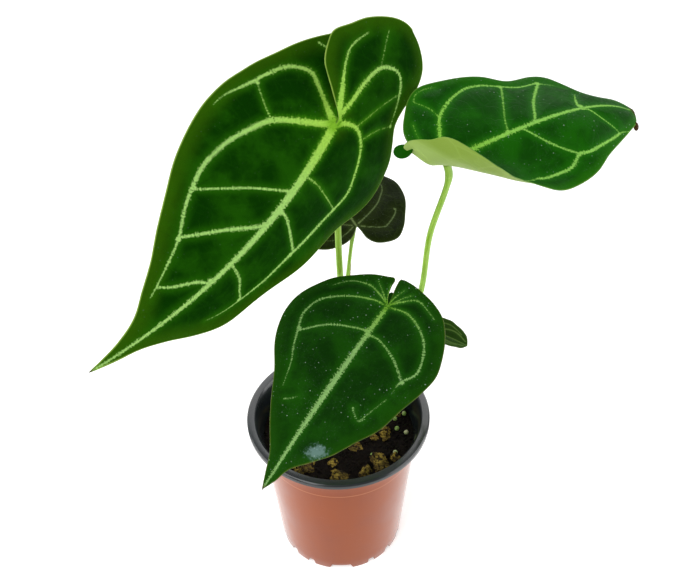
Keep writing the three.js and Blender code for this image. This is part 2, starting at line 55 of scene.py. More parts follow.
# Pot and soil, the first three from the model's own boxes
POT_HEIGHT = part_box("pot")[1].z / MM
RIM_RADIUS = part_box("pot")[1].x / MM
CROWN_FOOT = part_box("crown")[0].z / MM
RIM_DEPTH = 4
RIM_LIP = 5.6
FOOT_RADIUS = 43.1
SHOULDER_RADIUS = 51.8
SHOULDER_HEIGHT = 101.5
# Height of the thin pale line round the pot wall, which is a painted highlight
HIGHLIGHT_LINE_HEIGHT = 91
POT_WALL = 1.3
FLOOR_UNDERSIDE = 4.8
FLOOR_TOP = 6.4
STUD_RADIUS = 7
POT_STEPS = 160
FIRST_LUG_ANGLE = 18.7
LUG_PITCH = 20.37
LUGS_PER_SIDE = 8
NOTCH_HEIGHT = 4
SMALL_NOTCH = (7.1, 3.8)
WIDE_NOTCH = (19.4, 12.8)
HOLE_RADIUS = 3.5
HOLE_RING = 30
HOLE_COUNT = 8
WALL_STEPS = 12
SOIL_LEVEL = 96
SOIL_DOME = 2
SOIL_RINGS = 64
SOIL_STEPS = 240

# Crown and stalks
CROWN_CENTRE = (1, 2)
CROWN_RADIUS = 15.5
CROWN_TOP = 104
STALK_RING = 10
STALK_SIDES = 28
STALK_STEPS = 150
SOCKET_DEPTH = 7
STALK_TAPER = 19
STALK_KNEE = 16
KNEE_LENGTH = 9
KNEE_DROP = 4
JOINT_DEPTH = 1.7
JOINT_SETBACK = 1.5

# Blades
LARGEST_LENGTH = 173
BLADE_STEP = 0.8
BLADE_THICKNESS = 0.7
MARGIN_THICKNESS = 0.4
KEEL = 1.3
KEEL_AT_TIP = 0.15
KEEL_AT_SINUS = 0.25
KEEL_RUN = 0.05
LOBE_LIFT_REACH = 0.12
FIRST_STATION = -0.4
STATION_STEP = 0.2
WAVE_LENGTH = 0.31
# How far from the midrib the halves' directions blend, and how wide the keel under it is
MIDRIB_BLEND = 2.5
RIB_SPREAD = 1.8
# How far from a vein the panels are puffed fully, and how far in from the margin the blade
# stays flat and thin
PUFF_REACH = 5
FLAT_EDGE = 4
THIN_EDGE = 3
RIM_BULGE = 0.35
VEIN_RIB = 0.55
VEIN_SPREAD = 0.7
FULL_VEIN = 1.6
# Keeps the noise along one vein apart from the next one's
VEIN_OFFSET = 200
FAR = 1e9

# Every leaf is drawn flat: s runs along the midrib from the stalk to the tip, t away from it.
# rise is the angle at which a half leaves the midrib and curl how much it bends from there to
# half_width, in degrees: one value, or eight at stations from s = -0.4 to 1 times the length.
# A midrib has five half-widths from the stalk to the tip. A vein is (half-width at its start,
# half-width at its end, its points), and a spot is (s, t, radius). The halves are named by their
# leaf and then by their side of its midrib.
LARGE_LEFT = {
    "rise": (-10, -14, -20, -26, -30, -34, -34, -12), "curl": (-40, -42, -44, -46, -47, -48, -49, -50),
    "lobe_rows": 13, "lobe_end": 9,
    "edge": [(-4.5, -0.5), (-12, -10.5), (-21, -20.5), (-32, -24), (-41, -24), (-50, -18), (-60, -11),
             (-69, -1), (-74, 8), (-75, 16), (-72, 26), (-64, 35), (-52, 37), (-38, 36), (-27, 38),
             (-20, 45), (-13, 54), (-5, 59), (6, 62), (18, 60), (33, 53), (50, 47), (71, 41), (91, 36),
             (109, 30), (124, 21), (136, 12), (148, 5), (160, 2)],
    "veins": [
        (2.2, 1.3, [(-3, 0.2), (-10, -3.1), (-16, -5.8)]),
        (1.3, 0.5, [(-16, -5.8), (-21, -8), (-26, -9.8)]),
        (0.5, 0.2, [(-26, -9.8), (-30, -11), (-40, -12), (-53, -7)]),
        (1.1, 0.7, [(-6, 0), (-14, 2), (-28, 4), (-41, 8), (-47, 15), (-48, 21), (-45, 25)]),
        (0.7, 0.0, [(-45, 25), (-36, 30), (-24, 35)]),
        (1.3, 0.7, [(0, 1), (-4, 5), (-7, 12), (-6, 18)]),
        (0.7, 0.7, [(-6, 18), (-1, 24), (11, 31), (21, 35), (41, 31)]),
        (0.8, 0.6, [(41, 31), (64, 27), (81, 27)]),
        (0.6, -0.1, [(81, 27), (92, 25), (106, 21), (116, 17)]),
        (0.1, 0.0, [(-8, 13), (-20, 18), (-31, 23), (-39, 27)]),
        (0.1, 0.0, [(-4, 20), (-14, 26), (-23, 34)]),
        (0.3, 0.1, [(32, 0), (30, 10), (30, 20), (30, 31)]),
        (0.6, 0.6, [(54, 1), (54, 7), (58, 18), (61, 27)]),
        (0.5, 0.4, [(90, 1), (91, 11), (94, 17), (96, 23)]),
        (0.1, 0.1, [(-63, 3), (-54, 5), (-43, 8)]),
    ],
    "spots": [(30, 33, 1.0), (63, 27, 1.4), (54, 2, 1.4), (97, 23, 1.0), (-24, 35, 0.9)],
}
LARGE_RIGHT = {
    "rise": (-5, -5, -4, -4, -4, -4, -4, -4), "curl": (-12, -10, -9, -8, -7, -6, -5, -4), "lobe_rows": 8,
    "lobe_end": 4,
    "edge": [(-8, 2), (-20, 2), (-34, 3), (-47, 6), (-53, 11), (-50, 18), (-43, 25), (-32, 34), (-20, 42),
             (-7, 50), (8, 56), (22, 59), (37, 60), (54, 58), (72, 53), (89, 45), (105, 36), (119, 26),
             (131, 18), (142, 10), (154, 5), (165, 2)],
    "veins": [
        (2.0, 1.1, [(-1, 2), (-4.5, 5.5), (-9, 10)]),
        (1.1, 0.7, [(-9, 10), (-15, 16), (-20, 23), (-16, 34), (-5, 42), (1, 45)]),
        (0.8, 0.0, [(1, 45), (9, 49), (20, 54), (29, 56)]),
        (0.2, 0.3, [(1, 45), (8, 39), (13, 34), (17, 29)]),
        (1.7, 0.7, [(1, 2), (5, 9), (11, 20), (18, 29), (29, 35), (42, 40), (56, 42)]),
        (1.0, 0.1, [(56, 42), (67, 41), (85, 35), (100, 26), (116, 19), (130, 13)]),
        (0.5, 0.4, [(43, 1), (46, 6), (55, 18), (66, 29), (75, 37)]),
        (0.8, 0.6, [(65, 1), (71, 6), (82, 15), (99, 26)]),
        (0.6, 0.4, [(104, 0), (108, 5), (119, 11), (124, 15)]),
        (0.4, 0.3, [(-37, 26), (-37, 20)]),
    ],
    "spots": [(2, 44, 1.2), (75, 38, 1.4), (100, 26, 1.3), (44, 1, 1.8), (65, 1, 1.7), (103, 1, 1.4),
              (124, 15, 0.8)],
}
RIGHT_LEFT = {
    "rise": (34, 34, 33, 25, 15, 5, 3, 6), "curl": (-6, -8, -9, -3, 4, 10, 15, 20), "lobe_rows": 4,
    "lobe_end": 2,
    "edge": [(-3, 2), (-9, 7), (-13, 16), (-13, 23), (-9, 31), (-1, 41), (10, 46), (28, 46), (46, 42),
             (60, 36), (77, 37), (88, 34), (95, 26), (101, 17), (110, 11), (120, 8), (127, 4)],
    "veins": [
        (0.8, 0.5, [(0, 3), (4, 12), (10, 24), (17, 30), (24, 34), (34, 37), (44, 36)]),
        (0.4, 0.4, [(44, 36), (54, 32.5), (65, 30), (78, 31)]),
        (0.3, -0.2, [(78, 31), (87, 26.5), (92, 23)]),
        (0.1, 0.1, [(10, 24), (7.5, 31), (0.5, 38)]),
        (0.1, 0.0, [(0.5, 38), (4, 42), (10, 43.5), (18, 43.5)]),
        (0.0, -0.1, [(-6, 25.5), (-6.5, 20), (-6.5, 15)]),
        (0.2, 0.4, [(39, 1), (42, 9), (46, 16.5), (54, 31)]),
        (0.5, 0.7, [(56, 1), (64, 14), (71, 22), (79, 30)]),
        (0.7, 0.2, [(86, 3), (89.5, 9), (94, 15)]),
    ],
    "spots": [(10, 24, 0.9), (54, 32, 1.2), (79, 30.5, 1.5), (87, 2, 1.6), (39, 1, 1.3), (56, 1, 1.2)],
}
RIGHT_RIGHT = {
    "rise": (110, 88, 5, -51, -50, -26, -32, -28), "curl": (205, 102, 150, 139, 45, -19, -18, -13),
    "lobe_rows": 5, "lobe_end": 3,
    "edge": [(-3.5, 2), (-10, 7), (-17, 13), (-21, 15.5), (-18.5, 19.5), (-9.5, 26), (0, 36.5),
             (15, 36.5), (27, 34.5), (41, 42), (58, 41.5), (73, 38.5), (87, 31), (104, 23), (115, 17),
             (125, 10)],
    "veins": [
        (0.3, 0.4, [(47, 1), (50, 4), (56.5, 12), (62.5, 19), (68.5, 25)]),
        (0.8, 0.5, [(68.5, 25), (75, 26.5), (84, 25), (96, 22), (104, 19)]),
        (0.3, 0.0, [(104, 19), (109, 18), (115, 18)]),
        (0.6, 0.7, [(40, 30), (44.5, 31), (54, 31), (61.5, 30.5), (68, 26)]),
        (0.3, 0.3, [(2, 3), (10, 16), (20, 27), (30, 31), (40, 30)]),
        (0.4, 0.2, [(86, 1), (90, 2), (95.5, 8.5), (102.5, 16), (104, 19)]),
    ],
    "spots": [(69, 25.5, 1.2), (104, 19, 0.8)],
}
FRONT_LEFT = {
    "rise": 3, "curl": -28, "lobe_rows": 4, "lobe_end": 2,
    "edge": [(-6, -1), (-13, -2.8), (-20, -3), (-20, 4), (-18, 12), (-14, 23), (-8, 32), (2, 39),
             (13, 44), (25, 47), (39, 45), (53, 41), (68, 37), (81, 30), (93, 23), (103, 14), (111, 7),
             (120, 4)],
    "veins": [
        (0.5, 0.0, [(-1, 1), (-5, 5), (-10, 11), (-11, 15), (-9, 20), (-5, 28)]),
        (0.35, 0.45, [(1, 2), (0, 13), (6, 25), (15, 33), (27, 37), (33, 36)]),
        (0.5, -0.1, [(33, 36), (40, 32), (48, 32)]),
        (0.35, 0.45, [(23, 1), (23, 8), (29, 21), (38, 32)]),
        (0.3, 0.0, [(65, 18), (68, 21), (70, 25), (67, 27)]),
        (0.1, 0.0, [(70, 25), (61, 28), (52, 31)]),
        (0.3, 0.0, [(-1, 0), (-8, 1), (-14, 3)]),
        (0.3, 0.0, [(-1, 1), (-8, 5), (-13, 9)]),
    ],
    "spots": [(39, 33, 1.2), (23, 1, 1.4)],
}
FRONT_RIGHT = {
    "rise": (5, 6, 7, 7, 8, 9, 10, 10), "curl": (-14, -13, -12, -11, -9, -8, -7, -6), "lobe_rows": 4,
    "lobe_end": 2,
    "edge": [(-5, 3), (-12, 5), (-18, 6), (-17, 11), (-14, 20), (-8, 30), (-1, 39), (9, 45), (21, 50),
             (32, 51), (43, 48), (55, 42), (68, 33), (82, 25), (96, 16), (108, 8), (118, 4)],
    "veins": [
        (0.4, 0.0, [(-1, 2), (-5, 10), (-7, 17), (-5, 27), (0, 33), (4, 36)]),
        (0.35, 0.45, [(1, 2), (1, 9), (6, 23), (16, 36), (28, 40), (36, 38)]),
        (0.5, -0.1, [(36, 38), (50, 32), (60, 27), (74, 23)]),
        (0.35, 0.4, [(21, 1), (23, 9), (29, 23), (40, 35)]),
        (0.2, 0.0, [(80, 18), (78, 15), (75, 12)]),
        (0.3, 0.0, [(-1, 1), (-7, 4), (-13, 6)]),
        (0.3, 0.0, [(-1, 2), (-6, 7), (-12, 14)]),
    ],
    "spots": [(39, 36, 1.1), (21, 1, 1.4)],
}
YOUNG_LEFT = {
    "rise": 5, "curl": -20, "lobe_rows": 3, "lobe_end": 2,
    "edge": [(-4, 3), (-8, 8), (-10, 15), (-9, 24), (-4, 32), (4, 38), (14, 41), (25, 40), (36, 34),
             (46, 26), (55, 14)],
    "veins": [
        (0.3, 0.2, [(1, 2), (6, 12), (12, 20), (20, 27), (29, 28), (40, 20)]),
        (0.3, 0.0, [(0, 2), (-3, 8), (-5, 16), (-2, 24), (5, 31)]),
        (0.2, 0.2, [(24, 1), (28, 12), (33, 25)]),
    ],
}
YOUNG_RIGHT = {
    "rise": 5, "curl": -20, "lobe_rows": 4, "lobe_end": 3,
    "edge": [(-4, 1), (-11, 2), (-16, 6), (-18, 13), (-17, 21), (-11, 28), (-2, 35), (8, 41), (18, 45),
             (28, 44), (38, 38), (48, 29), (56, 15)],
    "veins": [
        (0.4, 0.2, [(1, 2), (6, 13), (11, 21), (16, 26), (22, 31), (28, 32), (40, 26)]),
        (0.4, 0.3, [(-1, 2), (-4, 8), (-7, 16), (-5, 21), (0, 28), (4, 31)]),
        (0.2, 0.2, [(24, 1), (27, 14), (31, 31)]),
    ],
    "spots": [(4, 30, 0.7), (-6, 19, 0.6)],
}
SMALL_LEFT = {
    "rise": (30, 30, 30, 28, 26, 24, 22, 20), "curl": -15, "lobe_rows": 2, "lobe_end": 1,
    "edge": [(-2, 1), (-4, 3), (-4, 6), (-2, 9), (2, 11), (8, 11), (14, 9), (20, 6)],
    "veins": [
        (0.4, 0.3, [(0, 1), (6, 4), (13, 5), (21, 2)]),
        (0.3, 0.2, [(-1, 2), (2, 7), (9, 8), (17, 5)]),
    ],
}
SMALL_RIGHT = {**SMALL_LEFT, "rise": (24, 24, 24, 22, 20, 18, 16, 14)}
LEAVES = [
    {
        "name": "large", "slot": "blade_velvet", "base": (2.9, 0, 328.2), "heading": 241, "dip": 28.5,
        "bank": -42, "length": LARGEST_LENGTH, "half_width": 70, "bend": (14, 0, -16), "sway": 31,
        "lobe_lift": 3, "wave": 0.9, "rows": 26, "midrib": (2.3, 1.95, 1.3, 0.8, 0.2), "groove": 0.5,
        "puff": 0.8, "left": LARGE_LEFT, "right": LARGE_RIGHT,
        "flaps": [
            {"place": (-2.2, 0, -1.3), "size": (2.8, 3.6, 0.7), "vein": 0.1},
            {"place": (-8, 0, -2.0), "size": (3.2, 5.0, 0.7), "vein": 1.2},
        ],
        "stalk": {"angle": 60, "radii": (3.1, 2.1, 2.0, 1.9, 2.3),
                  "path": [(5, 14, 140), (4.5, 17, 180), (3, 18, 216), (2.4, 18, 246), (2.5, 16, 285)]},
    },
    {
        "name": "right", "slot": "blade_glossy", "base": (58.2, -0.7, 306.4), "heading": 19, "dip": -12,
        "bank": -2, "length": 130, "half_width": 60, "bend": (-12.4, 58, 42), "sway": -15.6,
        "lobe_lift": 0, "wave": 0.5, "rows": 27, "midrib": (1.2, 1.1, 1.0, 0.75, 0.2), "groove": 0.6,
        "puff": 1.2, "left": RIGHT_LEFT, "right": RIGHT_RIGHT,
        "flaps": [
            {"place": (-20, -15, 0), "size": (5.6, 4.6, 1.3), "cup": 0.07, "spin": 25, "tilt": 12,
             "vein": 3, "shift": (-1, 0, -2.6)},
            {"place": (124, -10.5, 0), "size": (1.2, 1.5, 2.9), "tilt": 8, "vein": 14,
             "shift": (0.3, -0.5, -2.5), "coloured_as": (130, 0)},
        ],
        "stalk": {"angle": 330, "radii": (2.9, 1.9, 1.8, 1.7, 2.2),
                  "path": [(15, -2, 121), (33, 3, 147), (44, 7, 180), (51.3, 9, 211), (54.3, 7.2, 252)]},
    },
    {
        "name": "front", "slot": "blade_velvet", "base": (30.8, -8, 214), "heading": 235.5, "dip": 13,
        "bank": -2, "length": 127.5, "half_width": 57, "bend": (12.5, 5.5, 0), "sway": 3, "lobe_lift": 0,
        "wave": 0.7, "rows": 25, "midrib": (1.0, 1.2, 1.5, 0.9, 0.35), "groove": 0.5, "puff": 0.8,
        "left": FRONT_LEFT, "right": FRONT_RIGHT,
        "flaps": [
            {"place": (-4.5, -1.6, -0.9), "size": (2.2, 5.2, 0.6), "spin": 16, "vein": 9},
        ],
        "stalk": {"angle": 270, "radii": (2.7, 1.8, 1.7, 1.6, 2),
                  "path": [(3, -9, 126), (14, -10, 155), (26, -7, 185)]},
    },
    {
        "name": "young", "slot": "blade_bronze", "base": (13.3, 45, 232.6), "heading": 118, "dip": -20,
        "bank": 0, "length": 62, "half_width": 38, "bend": (20, 10, 0), "sway": 0, "lobe_lift": 0,
        "wave": 0.4, "rows": 16, "midrib": (0.6, 0.5, 0.4, 0.3, 0.2), "groove": 0.4, "puff": 0.9,
        "left": YOUNG_LEFT, "right": YOUNG_RIGHT,
        "stalk": {"angle": 130, "radii": (2.3, 1.4, 1.3, 1.2, 1.6),
                  "path": [(-3, 17, 130), (4, 30, 168), (8, 39, 203)]},
    },
    {
        "name": "small", "slot": "blade_olive", "base": (62, 22, 165), "heading": -25, "dip": 2,
        "bank": 0, "length": 23.5, "half_width": 14, "bend": (10, 10, 0), "sway": 0, "lobe_lift": 0,
        "wave": 0.2, "rows": 9, "midrib": (0.4, 0.35, 0.3, 0.25, 0.2), "groove": 0.35, "puff": 0.7,
        "left": SMALL_LEFT, "right": SMALL_RIGHT,
        "stalk": {"angle": 15, "radii": (1.9, 1.1, 1.0, 1.0, 1.2),
                  "path": [(17, 7, 119), (35, 13, 134), (54, 20, 151)]},
    },
]


# Camera, lights and floor

CAMERA_PLACE = (0.0089, -0.3984, 0.5544)
CAMERA_DOWN = 40.09
CAMERA_ROLL = -0.88
CAMERA_LENS = 46


def set_camera():
    data = bpy.data.cameras.new("camera")
    data.lens = CAMERA_LENS
    data.sensor_width = 36
    data.clip_start = 0.01
    camera = bpy.data.objects.new("camera", data)
    bpy.context.scene.collection.objects.link(camera)
    tilt = Matrix.Rotation(math.radians(90 - CAMERA_DOWN), 4, "X")
    roll = Matrix.Rotation(math.radians(CAMERA_ROLL), 4, "Z")
    camera.matrix_world = Matrix.Translation(CAMERA_PLACE) @ tilt @ roll
    bpy.context.scene.camera = camera


def add_softbox(name, place, aim, width, height, watts):
    data = bpy.data.lights.new(name, "AREA")
    data.shape = "RECTANGLE"
    data.size = width
    data.size_y = height
    data.energy = watts
    lamp = bpy.data.objects.new(name, data)
    bpy.context.scene.collection.objects.link(lamp)
    lamp.location = place
    lamp.rotation_euler = (Vector(aim) - Vector(place)).to_track_quat("-Z", "Y").to_euler()


def set_studio():
    scene = bpy.context.scene
    scene.view_settings.view_transform = "Standard"
    world = bpy.data.worlds.new("studio")
    world.use_nodes = True
    feed(world.node_tree.nodes["Background"], {"Color": (1, 1, 1, 1), "Strength": 0.5})
    scene.world = world
    plant = (0, 0, 0.2)
    add_softbox("key", (-0.7, -0.7, 1.3), plant, 1.0, 1.0, 16)
    add_softbox("back", (0.2, 1.2, 1.1), plant, 1.4, 0.7, 8)
    pot = (0, 0, 0.08)
    add_softbox("left_panel", (-0.8, -0.12, 0.3), pot, 0.8, 0.6, 4)
    add_softbox("right_panel", (0.8, -0.12, 0.3), pot, 0.8, 0.6, 5)


def add_floor():
    bpy.ops.mesh.primitive_plane_add(size=8)
    floor = bpy.context.object
    floor.name = "floor"
    floor.data.materials.append(shade(new_material("pale_floor")[0], {
        "Base Color": (0.8, 0.8, 0.8, 1), "Roughness": 0.9, "Specular IOR Level": 0.1,
        "Emission Color": (1, 1, 1, 1), "Emission Strength": 0.4,
    }))


# Small helpers for places and meshes

def round_place(radius, angle):
    return radius * math.cos(angle), radius * math.sin(angle)


def grid_faces(rows, columns):
    """Faces between the corners of a grid that are numbered row by row."""
    stride = columns + 1
    corners = [i * stride + j for i in range(rows) for j in range(columns)]
    return [(k, k + 1, k + stride + 1, k + stride) for k in corners]


def deselect_all():
    if bpy.context.object and bpy.context.object.mode != "OBJECT":
        bpy.ops.object.mode_set(mode="OBJECT")
    bpy.ops.object.select_all(action="DESELECT")


def pick(piece):
    deselect_all()
    piece.select_set(True)
    bpy.context.view_layer.objects.active = piece


def new_piece(name, places, faces, edges=()):
    """A piece from the places of its corners in millimetres."""
    mesh = bpy.data.meshes.new(name)
    mesh.from_pydata((np.array(places, float) * MM).tolist(), edges, faces)
    piece = bpy.data.objects.new(name, mesh)
    bpy.context.scene.collection.objects.link(piece)
    return piece


def settle(piece):
    """Puts the piece's place into its mesh, so that its object sits at the origin."""
    pick(piece)
    bpy.ops.object.transform_apply(location=True, rotation=True, scale=True)


def shaped(operator, scale, **settings):
    """The shape that an operator adds, with its scale and place put into its mesh."""
    operator(**settings)
    piece = bpy.context.object
    piece.scale = scale
    settle(piece)
    return piece


def apply_modifier(piece, kind, **settings):
    modifier = piece.modifiers.new(kind.lower(), kind)
    for key, value in settings.items():
        setattr(modifier, key, value)
    pick(piece)
    bpy.ops.object.modifier_apply(modifier=modifier.name)


def join(pieces, name):
    deselect_all()
    for piece in pieces:
        piece.select_set(True)
    bpy.context.view_layer.objects.active = pieces[0]
    bpy.ops.object.join()
    joined = bpy.context.object
    joined.name = name
    settle(joined)
    return joined


def smooth(piece, degrees):
    pick(piece)
    bpy.ops.object.shade_smooth_by_angle(angle=math.radians(degrees))


def edit_all(piece):
    pick(piece)
    bpy.ops.object.mode_set(mode="EDIT")
    bpy.ops.mesh.select_all(action="SELECT")


def face_outward():
    bpy.ops.mesh.normals_make_consistent(inside=False)
    bpy.ops.object.mode_set(mode="OBJECT")


def spun(name, profile, steps):
    """A line of (radius, height) points turned about the upright axis."""
    edges = [(i, i + 1) for i in range(len(profile) - 1)]
    piece = new_piece(name, [(r, 0, z) for r, z in profile], [], edges)
    edit_all(piece)
    bpy.ops.mesh.spin(steps=steps, angle=math.tau, center=(0, 0, 0), axis=(0, 0, 1))
    bpy.ops.mesh.select_all(action="SELECT")
    bpy.ops.mesh.remove_doubles(threshold=1e-6)
    face_outward()
    return piece


def finish_piece(piece, nodes, slot, *materials):
    for material in materials:
        piece.data.materials.append(material)
    if nodes:
        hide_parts(*nodes)
    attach(piece, "root")
    return piece


# The bent surface of a leaf

def unit(v):
    """Directions of length 1 in an array of directions."""
    return v / np.maximum(np.linalg.norm(v, axis=-1, keepdims=True), 1e-9)


def passing(a, b, c, d, f):
    """The place at share f from b to c on a smooth line through a, b, c and d."""
    return 0.5 * (2 * b + (c - a) * f + (2 * a - 5 * b + 4 * c - d) * f * f
                  + (3 * b - a - 3 * c + d) * f ** 3)


def station_value(values, s, length):
    """The value at s of a smooth line through the eight station values."""
    if np.isscalar(values):
        return np.full(np.shape(s), float(values))
    last = len(values) - 1
    v = np.array([2 * values[0] - values[1], *values, 2 * values[-1] - values[-2]], float)
    x = np.clip((s / length - FIRST_STATION) / STATION_STEP, 0, last)
    i = np.minimum(np.floor(x).astype(int), last - 1)
    return passing(v[i], v[i + 1], v[i + 2], v[i + 3], x - i)


def midrib_at(leaf, s):
    """Places, tangents and left-hand directions of the midrib, in the leaf's own frame."""
    length, bend = leaf["length"], leaf["bend"]

    def direction(at):
        u = np.maximum(at / length, 0)
        back = np.maximum(-at / length, 0)
        pitch = np.radians(bend[0] * u + bend[1] * u * u + bend[2] * back)
        yaw = np.radians(leaf["sway"] * u)
        tangent = np.stack([np.sin(yaw) * np.cos(pitch), np.cos(yaw) * np.cos(pitch),
                            -np.sin(pitch)], -1)
        side = np.stack([-np.cos(yaw), np.sin(yaw), np.zeros_like(yaw)], -1)
        return tangent, side

    step = length / 100
    places = np.arange(-104, 105) * step
    middles = (places[:-1] + places[1:]) / 2
    walk = np.concatenate([np.zeros((1, 3)), np.cumsum(direction(middles)[0] * step, axis=0)])
    walk -= walk[104]
    place = np.stack([np.interp(s, places, walk[:, k]) for k in range(3)], -1)
    return place, *direction(s)


def blade_place(leaf, half, sign, s, t):
    """Places on the bent blade. sign is +1 on the left half and -1 on the right half."""
    length = leaf["length"]
    place, tangent, side = midrib_at(leaf, s)
    normal = np.cross(tangent, side)
    rise = np.radians(station_value(half["rise"], s, length))
    rate = np.radians(station_value(half["curl"], s, length)) / leaf["half_width"]
    rate = np.where(np.abs(rate) < 1e-7, 1e-7, rate)
    out = (np.sin(rise + rate * t) - np.sin(rise)) / rate
    x = np.clip(-s / (LOBE_LIFT_REACH * length), 0, 1)
    lift = (np.cos(rise) - np.cos(rise + rate * t)) / rate
    lift = lift + sign * leaf["lobe_lift"] * x * x * (3 - 2 * x)
    return place + side * (sign * out)[..., None] + normal * lift[..., None]


def blade_frame(leaf):
    """Columns are the directions right of the midrib, along it and up from the blade."""
    h, d, b = (math.radians(leaf[key]) for key in ("heading", "dip", "bank"))
    forward = np.array([math.cos(h) * math.cos(d), math.sin(h) * math.cos(d), -math.sin(d)])
    level = np.array([-math.sin(h), math.cos(h), 0])
    left = level * math.cos(b) + np.cross(forward, level) * math.sin(b)
    return np.stack([-left, forward, np.cross(forward, left)], 1)


def smooth_line(points, per_span):
    """A smooth line through flat points, with per_span steps from each to the next."""
    p = np.array(points, float)
    p = np.concatenate([p[:1], p, p[-1:]])
    f = np.arange(per_span)[:, None] / per_span
    spans = [passing(*p[i:i + 4], f) for i in range(len(p) - 3)]
    return np.concatenate([*spans, p[-1:]])


def lengths_along(line):
    return np.concatenate([[0], np.cumsum(np.linalg.norm(np.diff(line, axis=0), axis=1))])


def even_points(line, count):
    along = lengths_along(line)
    wanted = np.linspace(0, along[-1], count + 1)
    return np.stack([np.interp(wanted, along, line[:, k]) for k in range(line.shape[1])], -1)


def flat_rows(leaf, half, step):
    """Flat points of one half, row by row from the tip to the end of the lobe."""
    tip = (leaf["length"], 0)
    outline = smooth_line([(0, 0), *half["edge"], tip], 8)
    corner = (half["lobe_end"] + 1) * 8
    lobe = outline[:corner + 1]
    finer = leaf["length"] / leaf["rows"] / step
    rows = round(leaf["rows"] * finer)
    lobe_rows = round(half["lobe_rows"] * finer)
    inner = np.concatenate([even_points(np.array([tip, (0.0, 0.0)]), rows),
                            even_points(lobe, lobe_rows)[1:]])
    outer = even_points(outline[corner:][::-1], rows + lobe_rows)
    across = max(8, round(np.linalg.norm(outer - inner, axis=1).max() / step))
    w = np.linspace(0, 1, across + 1)[None, :, None]
    return inner[:, None] * (1 - w) + outer[:, None] * w, rows, outline


def distance_to_line(points, line):
    """For each flat point: its distance to a line, and how far along the line that is."""
    a, b = line[:-1], line[1:]
    span = b - a
    size = np.maximum((span ** 2).sum(1), 1e-12)
    along = lengths_along(line)
    best = np.full(len(points), FAR)
    where = np.zeros(len(points))
    for k in range(len(a)):
        f = np.clip(((points - a[k]) @ span[k]) / size[k], 0, 1)
        gap = np.linalg.norm(points - a[k] - f[:, None] * span[k], axis=1)
        nearer = gap < best
        best[nearer] = gap[nearer]
        where[nearer] = (along[k] + f * (along[k + 1] - along[k]))[nearer]
    return best, where


def vein_fields(leaf, half, points):
    """Distance beyond the nearest pale band, place along it and its half-width, and how deep
    the veins are sunk there."""
    lines = [(leaf["midrib"], np.array([(0.0, 0.0), (leaf["length"], 0.0)]))]
    lines += [(widths, smooth_line(marks, 5)) for *widths, marks in half["veins"]]
    beyond = np.full(len(points), FAR)
    along, breadth, sunk = np.zeros((3, len(points)))
    for number, (widths, line) in enumerate(lines):
        gap, where = distance_to_line(points, line)
        share = where / lengths_along(line)[-1]
        width = np.interp(share, np.linspace(0, 1, len(widths)), widths)
        nearer = gap - width < beyond
        beyond[nearer] = (gap - width)[nearer]
        along[nearer] = where[nearer] + VEIN_OFFSET * number
        breadth[nearer] = width[nearer]
        across = np.exp(-(gap / (width + VEIN_SPREAD)) ** 2)
        sunk = np.maximum(sunk, np.minimum(width, FULL_VEIN) / FULL_VEIN * across)
    for s, t, radius in half.get("spots", []):
        beyond = np.minimum(beyond, np.linalg.norm(points - (s, t), axis=1) - radius)
    return beyond, along, breadth, sunk


def keel_depth(leaf, s):
    start = np.clip(KEEL_AT_SINUS + s / (KEEL_RUN * leaf["length"]), 0, 1)
    share = start * np.minimum(1, 1 + KEEL_AT_TIP - s / leaf["length"])
    return KEEL * share * (leaf["length"] / LARGEST_LENGTH)


def keep_values(mesh, name, values):
    values = np.asarray(values, np.float32)
    mesh.attributes.new(name, "FLOAT", "POINT").data.foreach_set("value", values)


def keep_flat(mesh, places):
    places = np.asarray(places, np.float32)
    mesh.attributes.new("flat", "FLOAT_VECTOR", "POINT").data.foreach_set("vector", places.ravel())


def make_flap(leaf, flap, material):
    """A small thick fold of the blade, such as the pad where its lobes meet or a curled-over tip.

    flap gives its place along and across the blade and above it, its half-sizes across, along
    and through, its turn about the blade's normal and its tilt, a shift in the model's frame, how
    far from a vein its colour is, and the flat point whose colour it takes if not its own.
    """
    s, t, above = flap["place"]
    half, sign = (leaf["left"], 1) if t >= 0 else (leaf["right"], -1)
    here, normal = surface_normals(leaf, half, sign, np.array([s]), np.array([abs(t)]))
    turn = blade_frame(leaf)
    centre = (here[0] + normal[0] * above) @ turn.T + np.array(leaf["base"])
    centre = centre + np.array(flap.get("shift", (0, 0, 0)))
    piece = shaped(bpy.ops.mesh.primitive_uv_sphere_add, flap["size"], segments=28, ring_count=16,
                   radius=1)
    piece.name = f"fold_{leaf['name']}"
    for corner in piece.data.vertices:
        corner.co.z += flap.get("cup", 0) * (corner.co.x ** 2 + corner.co.y ** 2)
    spin = Matrix.Rotation(math.radians(flap.get("spin", 0)), 4, "Z")
    tilt = Matrix.Rotation(math.radians(flap.get("tilt", 0)), 4, "X")
    place = Matrix.Translation(centre) @ Matrix(turn.tolist()).to_4x4() @ spin @ tilt
    piece.data.transform(Matrix.Scale(MM, 4) @ place)
    count = len(piece.data.vertices)
    for name, value in (("vein", flap["vein"]), ("along", 0), ("breadth", 0), ("margin", 20)):
        keep_values(piece.data, name, np.full(count, value))
    keep_flat(piece.data, np.tile((*flap.get("coloured_as", (s, t)), 0), (count, 1)))
    piece.data.materials.append(material)
    smooth(piece, 80)
    return piece


